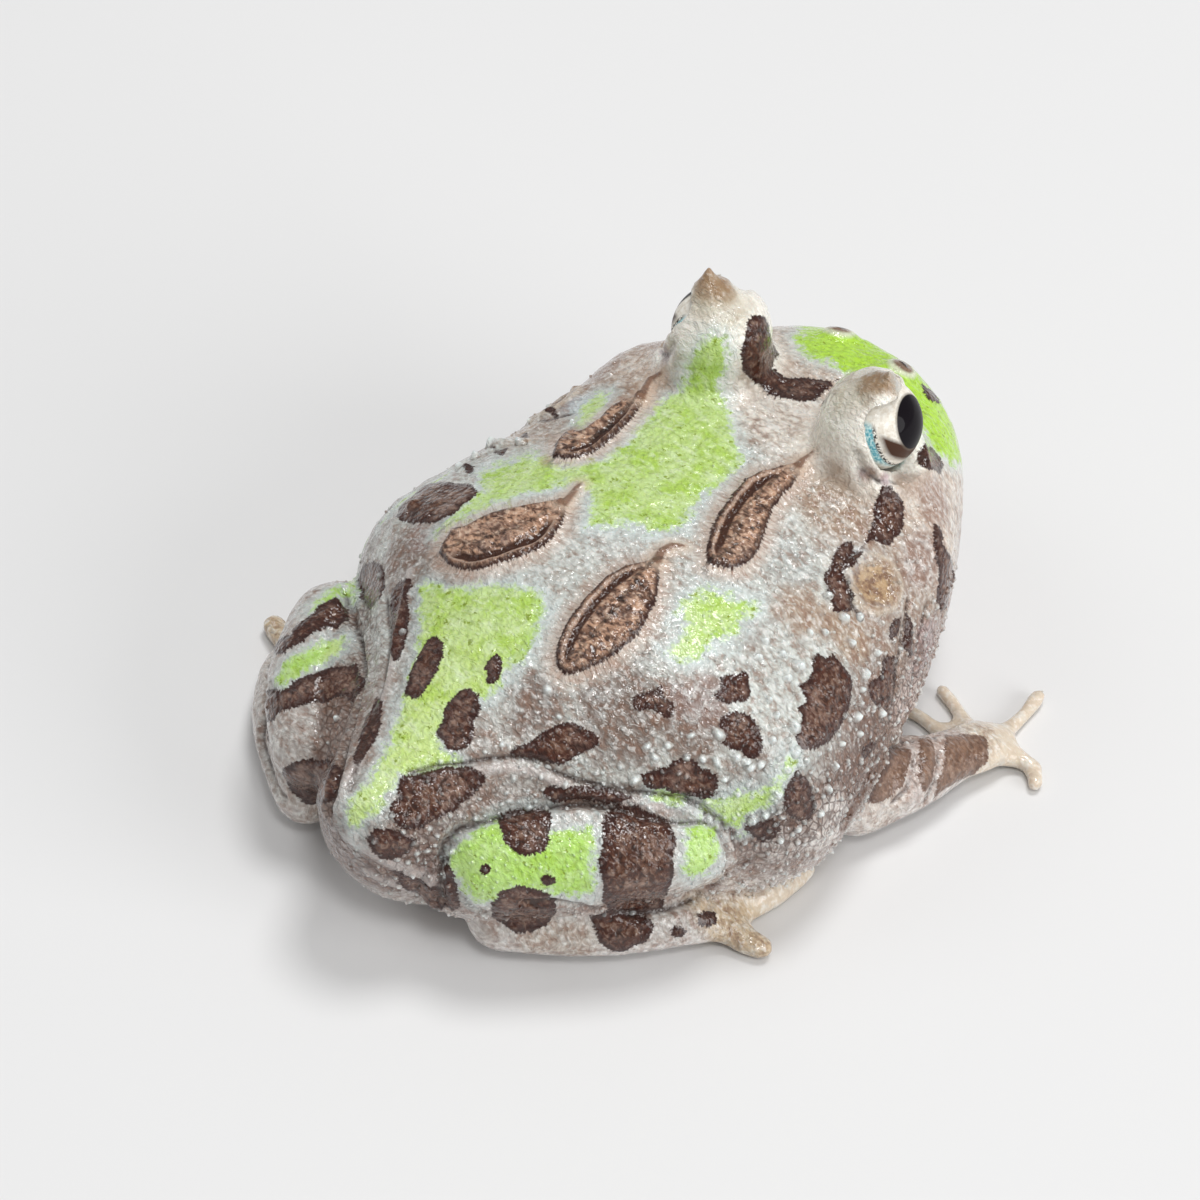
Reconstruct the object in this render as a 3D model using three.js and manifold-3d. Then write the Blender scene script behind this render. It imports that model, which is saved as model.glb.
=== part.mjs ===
// A young Argentine horned frog at rest, life size, in millimetres.
// It faces -Y, +Z is up, its left side is +X, and it sits on the plane z = 0.
// Trunk and head are one lofted skin, parted into head, lower jaw and torso by thin cuts.
import * as THREE from "three";
import { ParametricGeometry } from "three/addons/geometries/ParametricGeometry.js";
import { mergeVertices } from "three/addons/utils/BufferGeometryUtils.js";
import Module from "manifold-3d";

const wasm = await Module();
wasm.setup();

// Driving dimensions
const snoutToVent = 69;
const seam = 0.3; // gap between pieces that touch
const eyeRadius = 4.2;
const lidThickness = 0.6;
const hornHeight = 1.6; // above the lid
const tympanumRadius = 2;
const wartRadius = 0.65;

// Mesh fineness
const trunkSlices = 44;
const trunkStacks = 34;
const limbSlices = 10;
const digitSlices = 6;

const fullTurn = 2 * Math.PI;
const ringPower = 0.88;
const sides = { left: 1, right: -1 };
const upward = new THREE.Vector3(0, 0, 1);

// Stations of the trunk and head, from snout to vent.
// share: where the ring lies, 0 snout to 1 vent. along: y over the snout-vent length.
// The waist is the level of the greatest width; rise and drop are the heights above and below it.
// lean: how far the spine curves to the frog's left.
const stations = [
  { share: 0.0, along: -0.5, halfWidth: 0, rise: 0, drop: 0, waist: 17.5, lean: 0 },
  { share: 0.06, along: -0.49, halfWidth: 6.2, rise: 4.4, drop: 5.4, waist: 18, lean: 0 },
  { share: 0.13, along: -0.458, halfWidth: 10.4, rise: 6.2, drop: 9, waist: 17.6, lean: 0 },
  { share: 0.2, along: -0.398, halfWidth: 14, rise: 8.2, drop: 11.8, waist: 16.8, lean: 0 },
  { share: 0.28, along: -0.318, halfWidth: 17.4, rise: 10, drop: 13, waist: 15.5, lean: 0 },
  { share: 0.37, along: -0.218, halfWidth: 20.4, rise: 12.6, drop: 13, waist: 13.5, lean: 0 },
  { share: 0.46, along: -0.115, halfWidth: 22.5, rise: 15.2, drop: 12.6, waist: 11.2, lean: 0 },
  { share: 0.55, along: 0.0, halfWidth: 24.6, rise: 17, drop: 12, waist: 9.8, lean: 0 },
  { share: 0.64, along: 0.115, halfWidth: 24.8, rise: 16.8, drop: 11.7, waist: 9.8, lean: 0.2 },
  { share: 0.73, along: 0.225, halfWidth: 17.4, rise: 14, drop: 11.6, waist: 10.5, lean: 1 },
  { share: 0.82, along: 0.333, halfWidth: 10.4, rise: 9.8, drop: 11.4, waist: 11.4, lean: 2.1 },
  { share: 0.9, along: 0.425, halfWidth: 6.4, rise: 6.4, drop: 9.4, waist: 12.6, lean: 2.7 },
  { share: 0.96, along: 0.476, halfWidth: 4.4, rise: 4, drop: 6.2, waist: 13.8, lean: 2.9 },
  { share: 1.0, along: 0.5, halfWidth: 0, rise: 0, drop: 0, waist: 14.4, lean: 3 },
];

// Eyes: centre of the left eyeball, and the way it looks
const eyeCentre = new THREE.Vector3(8.6, -21, 28.5);
const gaze = new THREE.Vector3(0.87, -0.28, 0.38).normalize();

// The temples: a swelling behind and below each eye, its place and reach on the lofted skin
const temple = { turn: 0.155, share: 0.315, turnReach: 0.06, shareReach: 0.055, height: 1.9 };

// The mouth line falls from the front of the snout to its corners behind the eardrums.
const mouth = { frontY: -34.5, backY: -7, frontLevel: 12.6, fall: 4.6 };
const mouthLevel = (y) => {
  const way = THREE.MathUtils.clamp((y - mouth.frontY) / (mouth.backY - mouth.frontY), 0, 1);
  return mouth.frontLevel - mouth.fall * way ** 1.4;
};

// Values of the station table at a share of the way, by a smooth curve through its rows.
// Past either end the rings are mirrored, so that each end closes as a dome.
function stationAt(share) {
  const last = stations.length - 1;
  const mirrored = (s, end) => ({
    ...s,
    share: 2 * end.share - s.share,
    halfWidth: -s.halfWidth,
    rise: -s.rise,
    drop: -s.drop,
  });
  const row = (i) => {
    if (i < 0) return mirrored(stations[-i], stations[0]);
    if (i > last) return mirrored(stations[2 * last - i], stations[last]);
    return stations[i];
  };
  let i = 0;
  while (i < last - 1 && share > stations[i + 1].share) i += 1;
  const [a, b, c, d] = [row(i - 1), row(i), row(i + 1), row(i + 2)];
  const span = c.share - b.share;
  const t = (share - b.share) / span;
  const between = (key) => {
    const startSlope = ((c[key] - a[key]) / (c.share - a.share)) * span;
    const endSlope = ((d[key] - b[key]) / (d.share - b.share)) * span;
    return (
      (2 * t ** 3 - 3 * t ** 2 + 1) * b[key] +
      (t ** 3 - 2 * t ** 2 + t) * startSlope +
      (3 * t ** 2 - 2 * t ** 3) * c[key] +
      (t ** 3 - t ** 2) * endSlope
    );
  };
  return {
    y: between("along") * snoutToVent,
    halfWidth: between("halfWidth"),
    rise: between("rise"),
    drop: between("drop"),
    waist: between("waist"),
    lean: between("lean"),
  };
}

// A point of the lofted skin: turn is 0 on the back and grows towards the left side.
// The rings are a little fuller at their shoulders than an ellipse, and swell at the temples.
function trunkPoint(turn, share, target = new THREE.Vector3()) {
  const s = stationAt(share);
  const fuller = (value) => Math.sign(value) * Math.abs(value) ** ringPower;
  const across = fuller(Math.sin(turn * fullTurn));
  const up = fuller(Math.cos(turn * fullTurn));
  const height = up > 0 ? s.rise : s.drop;
  const fromTemple = (Math.abs(turn - Math.round(turn)) - temple.turn) / temple.turnReach;
  const alongTemple = (share - temple.share) / temple.shareReach;
  const swell = temple.height * Math.exp(-(fromTemple ** 2) - alongTemple ** 2);
  return target.set(s.lean + (s.halfWidth + swell) * across, s.y, s.waist + (height + swell) * up);
}

function outwardAt(turn, share) {
  const step = 1e-3;
  const around = trunkPoint(turn + step, share).sub(trunkPoint(turn - step, share));
  const along = trunkPoint(turn, share + step).sub(trunkPoint(turn, share - step));
  return around.cross(along).normalize();
}

// The closed skin of trunk and head, grown outwards by the given distance
function trunkSkin(grow = 0) {
  const skin = (turn, share, target) => {
    trunkPoint(turn, share, target);
    if (share <= 0 || share >= 1) target.y += share <= 0 ? -grow : grow;
    else target.addScaledVector(outwardAt(turn, share), grow);
  };
  return closed(new ParametricGeometry(skin, trunkSlices, trunkStacks));
}

// A tube of changing width and height along a smooth curve, with domed ends.
// Each row of the path is [x, y, z, half width, half height].
function limb(path, { slices = limbSlices, stacks = 12, grow = 0 } = {}) {
  const route = new THREE.CatmullRomCurve3(path.map(([x, y, z]) => new THREE.Vector3(x, y, z)));
  const sizes = new THREE.CatmullRomCurve3(
    path.map(([, , , wide, high]) => new THREE.Vector3(wide, high, 0)),
  );
  const domeShare = 3 / stacks;
  const tube = (u, v, target) => {
    const fromStart = Math.min(v / domeShare, 1);
    const fromEnd = Math.min((1 - v) / domeShare, 1);
    const way = THREE.MathUtils.clamp((v - domeShare) / (1 - 2 * domeShare), 0, 1);
    const t = route.getUtoTmapping(way);
    const size = sizes.getPoint(t);
    const along = route.getTangent(t);
    const side = along.clone().cross(upward).normalize();
    const above = side.clone().cross(along);
    const lift = (Math.min(fromStart, fromEnd) * Math.PI) / 2;
    const ring = Math.sin(lift);
    const reach = Math.cos(lift) * ((size.x + size.y) / 2 + grow);
    target
      .copy(route.getPoint(t))
      .addScaledVector(along, fromStart < fromEnd ? -reach : reach)
      .addScaledVector(above, (size.y + grow) * ring * Math.cos(u * fullTurn))
      .addScaledVector(side, (size.x + grow) * ring * Math.sin(u * fullTurn));
  };
  return closed(new ParametricGeometry(tube, slices, stacks));
}

// A closed three.js surface as a solid that can be joined and cut
function closed(geometry) {
  const bare = geometry.clone();
  bare.deleteAttribute("normal");
  bare.deleteAttribute("uv");
  const merged = mergeVertices(bare, 1e-4);
  const corners = merged.index.array;
  const faces = [];
  for (let i = 0; i < corners.length; i += 3) {
    const [a, b, c] = corners.slice(i, i + 3);
    if (a !== b && b !== c && c !== a) faces.push(a, b, c);
  }
  return new wasm.Manifold(
    new wasm.Mesh({
      numProp: 3,
      vertProperties: merged.attributes.position.array,
      triVerts: new Uint32Array(faces),
    }),
  );
}

const joined = (...solids) => solids.flat().reduce((sum, solid) => sum.add(solid));
const cut = (solid, ...tools) => tools.flat().reduce((left, tool) => left.subtract(tool), solid);
const largest = (solid) => solid.decompose().reduce((a, b) => (b.volume() > a.volume() ? b : a));

// A geometry drawn about the origin along +Z, turned to a direction and moved to a place
function placed(geometry, at, direction = upward) {
  const turn = new THREE.Quaternion().setFromUnitVectors(upward, direction);
  geometry.applyQuaternion(turn);
  geometry.translate(at.x, at.y, at.z);
  return closed(geometry);
}

function ball(centre, radius, slices = 18) {
  return placed(new THREE.SphereGeometry(radius, slices, Math.round(slices * 0.7)), centre);
}

// Everything below the floor, and a thin slab that parts the head from the torso
const worldHalf = 60;
const floorDepth = 40;
const belowFloor = placed(
  new THREE.BoxGeometry(2 * worldHalf, 2 * worldHalf, floorDepth),
  new THREE.Vector3(0, 0, -floorDepth / 2),
);
const neck = { y: -6.2, tilt: 0.06 };
const neckCut = placed(
  new THREE.BoxGeometry(2 * worldHalf, 2 * worldHalf, seam),
  new THREE.Vector3(0, neck.y, 15),
  new THREE.Vector3(0, 1, -neck.tilt).normalize(),
);

// The sheet that parts the lower jaw from the head along the mouth line
function mouthCut() {
  const ys = Array.from({ length: 12 }, (_, i) => mouth.frontY - 3 + i * 3);
  const outline = [
    ...ys.map((y) => new THREE.Vector2(y, mouthLevel(y) + seam / 2)),
    ...ys.reverse().map((y) => new THREE.Vector2(y, mouthLevel(y) - seam / 2)),
  ];
  const sheet = new THREE.ExtrudeGeometry(new THREE.Shape(outline), {
    depth: 2 * worldHalf,
    bevelEnabled: false,
  });
  sheet.applyMatrix4(new THREE.Matrix4().set(0, 0, 1, -worldHalf, 1, 0, 0, 0, 0, 1, 0, 0, 0, 0, 0, 1));
  return closed(sheet);
}

// A lip: a slim roll along the mouth line, offset up or down from it, sunk into the skin
function lip(offset, radius) {
  const half = [];
  for (let share = 0.045; share < 0.45; share += 0.035) {
    const s = stationAt(share);
    const depth = (s.waist - mouthLevel(s.y) - offset) / s.drop;
    if (depth < 0.99) half.push([s.halfWidth * Math.sqrt(1 - depth ** 2) - 0.35 * radius, s.y]);
  }
  const frontY = half[0][1] - 0.4;
  const row = ([x, y], side) => [side * x, y, mouthLevel(y) + offset, radius, radius];
  const path = [
    ...half.toReversed().map((point) => row(point, sides.right)),
    row([0, frontY], sides.left),
    ...half.map((point) => row(point, sides.left)),
  ];
  return limb(path, { slices: 5, stacks: 30 });
}

const mirroredTo = (side, v) => new THREE.Vector3(side * v.x, v.y, v.z);

// The brow mound: a bell that rises from the head to the lid, and the lid round the eyeball
function brow(side) {
  const lidRadius = eyeRadius + lidThickness;
  const foot = 8;
  const profile = [
    [0, -foot],
    [lidRadius * 1.62, -foot],
    [lidRadius * 1.36, -foot * 0.72],
    [lidRadius * 1.13, -foot * 0.45],
    [lidRadius * 1.01, -foot * 0.2],
    [lidRadius * 0.9, lidRadius * 0.35],
    [0, lidRadius * 0.8],
  ];
  const bell = new THREE.LatheGeometry(profile.map(([x, y]) => new THREE.Vector2(x, y)), 18);
  bell.rotateX(Math.PI / 2);
  const lean = new THREE.Vector3(side * 0.04, -0.1, 1).normalize();
  const centre = mirroredTo(side, eyeCentre);
  return joined(placed(bell, centre, lean), ball(centre, lidRadius, 18));
}

// The opening between the lids, a wide cutter whose end face stands across the gaze
const lidDepth = 1.6; // from the eyeball's centre to the rim of the lids
function lidOpening(side) {
  const reach = 8;
  const cutter = new THREE.CylinderGeometry(5.9, 5.2, reach, 20);
  cutter.rotateX(Math.PI / 2);
  const look = mirroredTo(side, gaze);
  const at = mirroredTo(side, eyeCentre).addScaledVector(look, lidDepth + reach / 2);
  return placed(cutter, at, look);
}

// The blunt horn on the upper lid, rooted behind the lid's edge and leaning out over the eye
const hornLean = new THREE.Vector3(0.3, -0.08, 0.95).normalize();
function horn(side) {
  const lidRadius = eyeRadius + lidThickness;
  const tipRadius = 0.5;
  const rows = [
    [2.4, 3.2, 3.2],
    [lidRadius - 0.2, 2.5, 2.3],
    [lidRadius + hornHeight - tipRadius, tipRadius, tipRadius],
  ].map(([height, wide, high]) => {
    const root = mirroredTo(side, eyeCentre).add(new THREE.Vector3(side * -0.5, 0.4, 0));
    const p = root.addScaledVector(mirroredTo(side, hornLean), height);
    return [p.x, p.y, p.z, wide, high];
  });
  return limb(rows, { slices: 9, stacks: 10 });
}

// Nostrils: a small raised rim with a pit in it
const nostrilAt = new THREE.Vector3(3.4, -31.3, 23.6);
const nostrilRim = (side) => ball(mirroredTo(side, nostrilAt), 1.2, 10);
const nostrilPit = (side) => {
  const toFront = new THREE.Vector3(side * 0.35, -0.5, 0.55);
  return ball(mirroredTo(side, nostrilAt).add(toFront), 0.62, 8);
};

// Eardrums: a round membrane with a raised ring, behind and below each eye
const eardrum = { turn: 0.147, share: 0.425 };
function tympanum(side) {
  const centre = trunkPoint(side * eardrum.turn, eardrum.share);
  const out = outwardAt(side * eardrum.turn, eardrum.share);
  const ring = placed(new THREE.TorusGeometry(tympanumRadius, 0.42, 6, 16), centre, out);
  const membrane = placed(new THREE.SphereGeometry(tympanumRadius, 12, 6).scale(1, 1, 0.2), centre, out);
  return joined(ring, membrane);
}

// Large warts in two rows along each flank, their spacing and size varied as on a real one
function seededDraw(seed) {
  let state = seed;
  return () => {
    state = (state * 16807) % 2147483647;
    return state / 2147483647;
  };
}

const wartRows = [
  { from: { turn: 0.135, share: 0.48 }, to: { turn: 0.2, share: 0.72 }, count: 8 },
  { from: { turn: 0.205, share: 0.43 }, to: { turn: 0.245, share: 0.66 }, count: 7 },
];

function flankWarts(side, seed) {
  const draw = seededDraw(seed);
  return wartRows.flatMap(({ from, to, count }) =>
    Array.from({ length: count }, (_, i) => {
      const way = (i + 0.4 * (draw() - 0.5)) / (count - 1);
      const turn = THREE.MathUtils.lerp(from.turn, to.turn, way) + 0.016 * (draw() - 0.5);
      const share = THREE.MathUtils.lerp(from.share, to.share, way);
      const radius = wartRadius * (0.8 + 0.5 * draw());
      return placed(new THREE.SphereGeometry(radius, 6, 4), trunkPoint(side * turn, share));
    }),
  );
}

// Limbs, written with x outwards. The right hind leg is drawn in closer than the left.
const legPose = {
  left: {
    thigh: [[9, 23, 9.5, 6, 6.4], [14, 17.8, 10.2, 6.4, 6.6], [19, 13, 10.6, 5, 5.2]],
    shank: [[21.4, 15.2, 11.2, 4.3, 4.5], [18.6, 20.2, 10.8, 4.6, 4.9], [15, 24.8, 9.6, 4.2, 4.4]],
    tarsus: [[15.2, 26, 4, 3, 3.1], [22.2, 21, 3.6, 3.2, 3.2], [26, 15.8, 3, 3.1, 2.6], [27.2, 12.4, 2, 2.8, 1.7]],
    toes: [
      [[24.6, 12.4, 1.5], [21.5, 10, 1.2], [20, 8.4, 1.1]],
      [[25.6, 11.6, 1.5], [23.4, 7.4, 1.2], [22, 4.6, 1.1]],
      [[26.8, 11.2, 1.5], [26, 5, 1.2], [25.4, 1, 1.1]],
      [[28, 11.6, 1.5], [28.6, 4, 1.3], [28.6, -1.4, 1.2]],
      [[28.6, 13, 1.5], [31, 12.3, 1.3], [32.4, 11.8, 1.3]],
    ],
  },
  right: {
    thigh: [[3.4, 25, 9.6, 6, 6.4], [9.4, 19.4, 10.4, 6.6, 6.8], [15.4, 13, 10.8, 5.4, 5.6]],
    shank: [[17.2, 13.9, 11.4, 4.3, 4.5], [12.4, 19.6, 11.6, 4.7, 5.1], [6.6, 25.6, 11.2, 4.4, 5]],
    tarsus: [[6.8, 25.6, 4, 3, 3.1], [12.4, 20.9, 3.6, 3.2, 3.2], [16.8, 15.8, 3, 3.1, 2.6], [19.2, 12.2, 2, 2.8, 1.7]],
    toes: [
      [[16.8, 11.8, 1.5], [14.4, 9.4, 1.2], [13.4, 7.6, 1.1]],
      [[18, 11.2, 1.5], [16.4, 6.8, 1.2], [15.6, 4.4, 1.1]],
      [[19, 10.8, 1.5], [18.6, 4.6, 1.2], [18.4, 0.6, 1.1]],
      [[20.2, 11, 1.5], [21.3, 6, 1.3], [21.4, 2.8, 1.1]],
      [[20.6, 12.6, 1.5], [22.9, 12.4, 1.3], [23.9, 12.1, 1.3]],
    ],
  },
};

const armPose = {
  upperArm: [[15, -9, 8, 4.5, 5], [19.2, -6, 6.2, 4.2, 4.4], [21.2, -4, 4.6, 3.4, 3.6]],
  forearm: [[21.3, -4, 3.8, 3.2, 3.5], [22.9, -8.8, 3.8, 3.2, 3.4], [24, -14, 2.9, 2.6, 2.4]],
  palm: [[24.2, -14.6, 2.8, 2.6, 2.2], [24.8, -17.6, 2, 2.9, 1.6], [25.2, -19.2, 1.5, 2.3, 1.2]],
  fingers: [
    [[22.8, -16.4, 1.1], [19.6, -17.4, 0.8], [16.8, -17.4, 0.85]],
    [[23.2, -18.2, 1.1], [20.2, -20.2, 0.8], [17.6, -21.2, 0.85]],
    [[25, -18.8, 1.1], [24.9, -22.8, 0.8], [24.5, -26, 0.95]],
    [[26, -18, 1.2], [29, -19.4, 0.95], [30.4, -17.8, 0.95]],
  ],
};

const onSide = (side, path) => path.map(([x, ...rest]) => [side * x, ...rest]);

// A finger or toe lies on the floor, sunk a little below it so that its pad is flat.
const padSink = 0.2;
function digit([root, middle, tip], side, grow) {
  const rootLift = 0.3;
  const rows = [root, middle, tip].map(([x, y, radius], i) => {
    const z = radius - padSink + (i === 0 ? rootLift : 0);
    return [side * x, y, z, radius, radius];
  });
  return limb(rows, { slices: digitSlices, stacks: 9, grow });
}

function legForms(side, pose, grow = 0) {
  const part = (name) => limb(onSide(side, pose[name]), { grow });
  return {
    thigh: part("thigh"),
    shank: part("shank"),
    foot: joined(part("tarsus"), pose.toes.map((toe) => digit(toe, side, grow))),
  };
}

function armForms(side, pose, grow = 0) {
  const part = (name) => limb(onSide(side, pose[name]), { grow });
  return {
    upperArm: part("upperArm"),
    forearm: part("forearm"),
    hand: joined(part("palm"), pose.fingers.map((finger) => digit(finger, side, grow))),
  };
}

// Skin colours of the photographed animal
const skinColour = {
  head: 0xa8917f,
  jaw: 0xc4b3a6,
  torso: 0x9a9a7c,
  shank: 0x8fa860,
  limb: 0x9c8c82,
  digit: 0xd2b98f,
  horn: 0xa08a70,
  eye: 0xd9d3c6,
};

function meshOf(name, solid, colour, roughness = 0.5) {
  const { numProp, vertProperties, triVerts } = largest(solid).getMesh();
  const geometry = new THREE.BufferGeometry();
  geometry.setAttribute("position", new THREE.BufferAttribute(vertProperties, numProp));
  geometry.setIndex(new THREE.BufferAttribute(triVerts, 1));
  const finish = new THREE.MeshStandardMaterial({ color: colour, roughness, metalness: 0 });
  const mesh = new THREE.Mesh(geometry, finish);
  mesh.name = name;
  return mesh;
}

// Assembly
const frog = new THREE.Group();
frog.name = "horned_frog";

const bothSides = Object.values(sides);
const sockets = bothSides.map((side) => ball(mirroredTo(side, eyeCentre), eyeRadius + seam, 16));
const grownTrunk = trunkSkin(seam);
const features = bothSides.flatMap((side) => [brow(side), nostrilRim(side), tympanum(side)]);
const warts = [flankWarts(sides.left, 11), flankWarts(sides.right, 23)].flat();
const lips = [lip(0.75, 0.85), lip(-0.8, 0.8)];

const thighRooms = Object.entries(sides).map(([name, side]) => legForms(side, legPose[name], seam).thigh);

let body = joined(trunkSkin(), features, cut(joined(warts), thighRooms), lips);
body = cut(body, sockets, bothSides.map(lidOpening), bothSides.map(nostrilPit), belowFloor);

for (const [name, side] of Object.entries(sides)) {
  const leg = legForms(side, legPose[name]);
  const legGrown = legForms(side, legPose[name], seam);
  const arm = armForms(side, armPose);
  const armGrown = armForms(side, armPose, seam);
  const clearOfBody = [grownTrunk, belowFloor];
  body = cut(body, legGrown.shank, legGrown.foot, armGrown.forearm, armGrown.hand);
  const nodes = [
    [`eye_${name}`, ball(mirroredTo(side, eyeCentre), eyeRadius, 16), skinColour.eye, 0.15],
    [`shank_${name}`, cut(leg.shank, belowFloor), skinColour.shank],
    [`thigh_${name}`, cut(leg.thigh, legGrown.shank, clearOfBody), skinColour.limb],
    [`foot_${name}`, cut(leg.foot, legGrown.shank, legGrown.thigh, belowFloor), skinColour.digit],
    [`arm_${name}`, cut(joined(cut(arm.upperArm, grownTrunk), arm.forearm), belowFloor), skinColour.limb],
    [`hand_${name}`, cut(arm.hand, armGrown.forearm, armGrown.upperArm, belowFloor), skinColour.digit],
  ];
  for (const row of nodes) frog.add(meshOf(...row));
}

// Head, lower jaw and torso: the pieces that the neck and mouth cuts leave, told by their places
const horns = bothSides.map(horn);
const centreOf = (solid) => {
  const { min, max } = solid.boundingBox();
  return new THREE.Vector3((min[0] + max[0]) / 2, (min[1] + max[1]) / 2, (min[2] + max[2]) / 2);
};
const [ahead, behind] = cut(body, neckCut)
  .decompose()
  .toSorted((a, b) => b.volume() - a.volume())
  .slice(0, 2)
  .toSorted((a, b) => centreOf(a).y - centreOf(b).y);
const [jaw, head] = cut(ahead, mouthCut())
  .decompose()
  .toSorted((a, b) => b.volume() - a.volume())
  .slice(0, 2)
  .toSorted((a, b) => centreOf(a).z - centreOf(b).z);
const grownHead = bothSides.map((side) => ball(mirroredTo(side, eyeCentre), eyeRadius + lidThickness + seam, 18));
frog.add(meshOf("torso", behind, skinColour.torso));
frog.add(meshOf("lower_jaw", jaw, skinColour.jaw));
frog.add(meshOf("head", head, skinColour.head));
frog.add(meshOf("horn_left", cut(horns[0], grownHead), skinColour.horn));
frog.add(meshOf("horn_right", cut(horns[1], grownHead), skinColour.horn));

// The origin lies on the floor, in the middle of the whole animal
const reach = new THREE.Box3().setFromObject(frog);
const middle = reach.getCenter(new THREE.Vector3());
frog.position.set(-middle.x, -middle.y, -reach.min.z);

export default frog;
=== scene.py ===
"""A young Argentine horned frog at rest, life size: the looks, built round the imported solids."""

import math

import bpy
import numpy as np
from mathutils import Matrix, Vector
from mathutils.bvhtree import BVHTree


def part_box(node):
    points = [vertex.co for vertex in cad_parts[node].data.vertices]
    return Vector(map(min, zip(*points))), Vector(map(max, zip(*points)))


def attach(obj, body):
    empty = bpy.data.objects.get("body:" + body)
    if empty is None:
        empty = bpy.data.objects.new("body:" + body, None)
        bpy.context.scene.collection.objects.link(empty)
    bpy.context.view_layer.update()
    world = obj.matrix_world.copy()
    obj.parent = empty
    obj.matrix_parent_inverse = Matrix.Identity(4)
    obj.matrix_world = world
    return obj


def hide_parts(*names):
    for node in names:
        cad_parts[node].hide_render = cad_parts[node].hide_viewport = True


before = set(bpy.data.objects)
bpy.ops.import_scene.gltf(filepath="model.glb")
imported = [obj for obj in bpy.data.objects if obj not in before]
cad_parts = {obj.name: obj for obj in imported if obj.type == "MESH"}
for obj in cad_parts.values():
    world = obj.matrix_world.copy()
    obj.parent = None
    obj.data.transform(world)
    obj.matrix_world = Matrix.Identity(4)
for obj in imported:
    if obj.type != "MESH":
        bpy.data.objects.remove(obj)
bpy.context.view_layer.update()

MM = 0.001

# The frog's own frame is in millimetres: it faces -Y, +Z is up and its left side is +X.
EYE_RADIUS = 4.2
EYE_CENTRE = np.array([8.6, -21.0, 28.5])
NOSTRIL = np.array([3.6, -31.9, 24.2])
GAZE = np.array([0.87, -0.28, 0.38]) / np.linalg.norm([0.87, -0.28, 0.38])
LEFT_AND_RIGHT = {"left": np.array([1.0, 1.0, 1.0]), "right": np.array([-1.0, 1.0, 1.0])}
FLESH = sorted(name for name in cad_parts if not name.startswith("eye_"))


def frame_origin():
    """Where the frog's own origin lies in the frame, in mm: the eyes' middle less its known place."""
    corners = [corner for side in LEFT_AND_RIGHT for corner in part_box(f"eye_{side}")]
    middle = np.mean([np.array(corner) for corner in corners], axis=0) / MM
    return middle - EYE_CENTRE * np.array([0.0, 1.0, 1.0])


ORIGIN = frame_origin()

# Camera: the angle, distance and lens that the photograph was taken with
PHOTO_SIDE = 1200
VIEW_AZIMUTH = math.radians(220.5)
VIEW_ELEVATION = math.radians(47)
VIEW_DISTANCE = 420.0
VIEW_AIM = np.array([4.5, -0.4, 14.0])
LENS = 146.0
SENSOR = 36.0
VIEW_BACK = np.array([
    math.sin(VIEW_AZIMUTH) * math.cos(VIEW_ELEVATION),
    -math.cos(VIEW_AZIMUTH) * math.cos(VIEW_ELEVATION),
    math.sin(VIEW_ELEVATION),
])
VIEW_RIGHT = np.array([math.cos(VIEW_AZIMUTH), math.sin(VIEW_AZIMUTH), 0.0])
VIEW_UP = np.cross(VIEW_BACK, VIEW_RIGHT)
VIEW_FROM = VIEW_AIM + VIEW_DISTANCE * VIEW_BACK


def add_camera():
    camera = bpy.data.cameras.new("camera")
    camera.lens = LENS
    camera.sensor_width = SENSOR
    camera.clip_start = 0.01
    thing = bpy.data.objects.new("camera", camera)
    thing.location = Vector((VIEW_FROM + ORIGIN) * MM)
    thing.rotation_euler = Vector(-VIEW_BACK).to_track_quat("-Z", "Y").to_euler()
    bpy.context.scene.collection.objects.link(thing)
    bpy.context.scene.camera = thing


add_camera()


# Mesh helpers

def new_piece(name, points, faces):
    """A smooth mesh object at the frame's origin, from points in the frog's own millimetres."""
    mesh = bpy.data.meshes.new(name)
    mesh.from_pydata(((points + ORIGIN) * MM).tolist(), [], faces)
    mesh.polygons.foreach_set("use_smooth", np.full(len(mesh.polygons), True))
    mesh.update()
    piece = bpy.data.objects.new(name, mesh)
    bpy.context.scene.collection.objects.link(piece)
    return piece


def set_field(piece, name, values):
    """Stores one number per vertex for the materials to read."""
    layer = piece.data.attributes.new(name, "FLOAT", "POINT")
    layer.data.foreach_set("value", values.astype(np.float32))


def set_tint(piece, name, colours):
    """Stores one linear colour per vertex for the materials to read."""
    padded = np.ones((len(colours), 4), np.float32)
    padded[:, :3] = colours
    layer = piece.data.attributes.new(name, "FLOAT_COLOR", "POINT")
    layer.data.foreach_set("color", padded.ravel())


def mesh_arrays(mesh):
    """Points in own millimetres and faces of a mesh whose faces all have as many corners as its first."""
    points = np.empty(len(mesh.vertices) * 3, np.float32)
    mesh.vertices.foreach_get("co", points)
    corners = len(mesh.polygons[0].vertices)
    faces = np.empty(len(mesh.polygons) * corners, np.int32)
    mesh.polygons.foreach_get("vertices", faces)
    return points.reshape(-1, 3).astype(float) / MM - ORIGIN, faces.reshape(-1, corners)


def vertex_normals(points, faces):
    """The sum of the normals of the faces round each point, made one long."""
    diagonals = points[faces[:, 2]] - points[faces[:, 0]], points[faces[:, -1]] - points[faces[:, 1]]
    across = np.cross(*diagonals)
    sums = np.stack([
        sum(np.bincount(faces[:, k], across[:, axis], len(points)) for k in range(faces.shape[1]))
        for axis in range(3)
    ], axis=1)
    return sums / np.maximum(np.linalg.norm(sums, axis=1, keepdims=True), 1e-12)


def smoothstep(low, high, values):
    way = np.clip((values - low) / (high - low), 0, 1)
    return way * way * (3 - 2 * way)


def mix(a, b, way):
    return a + (b - a) * way


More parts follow.
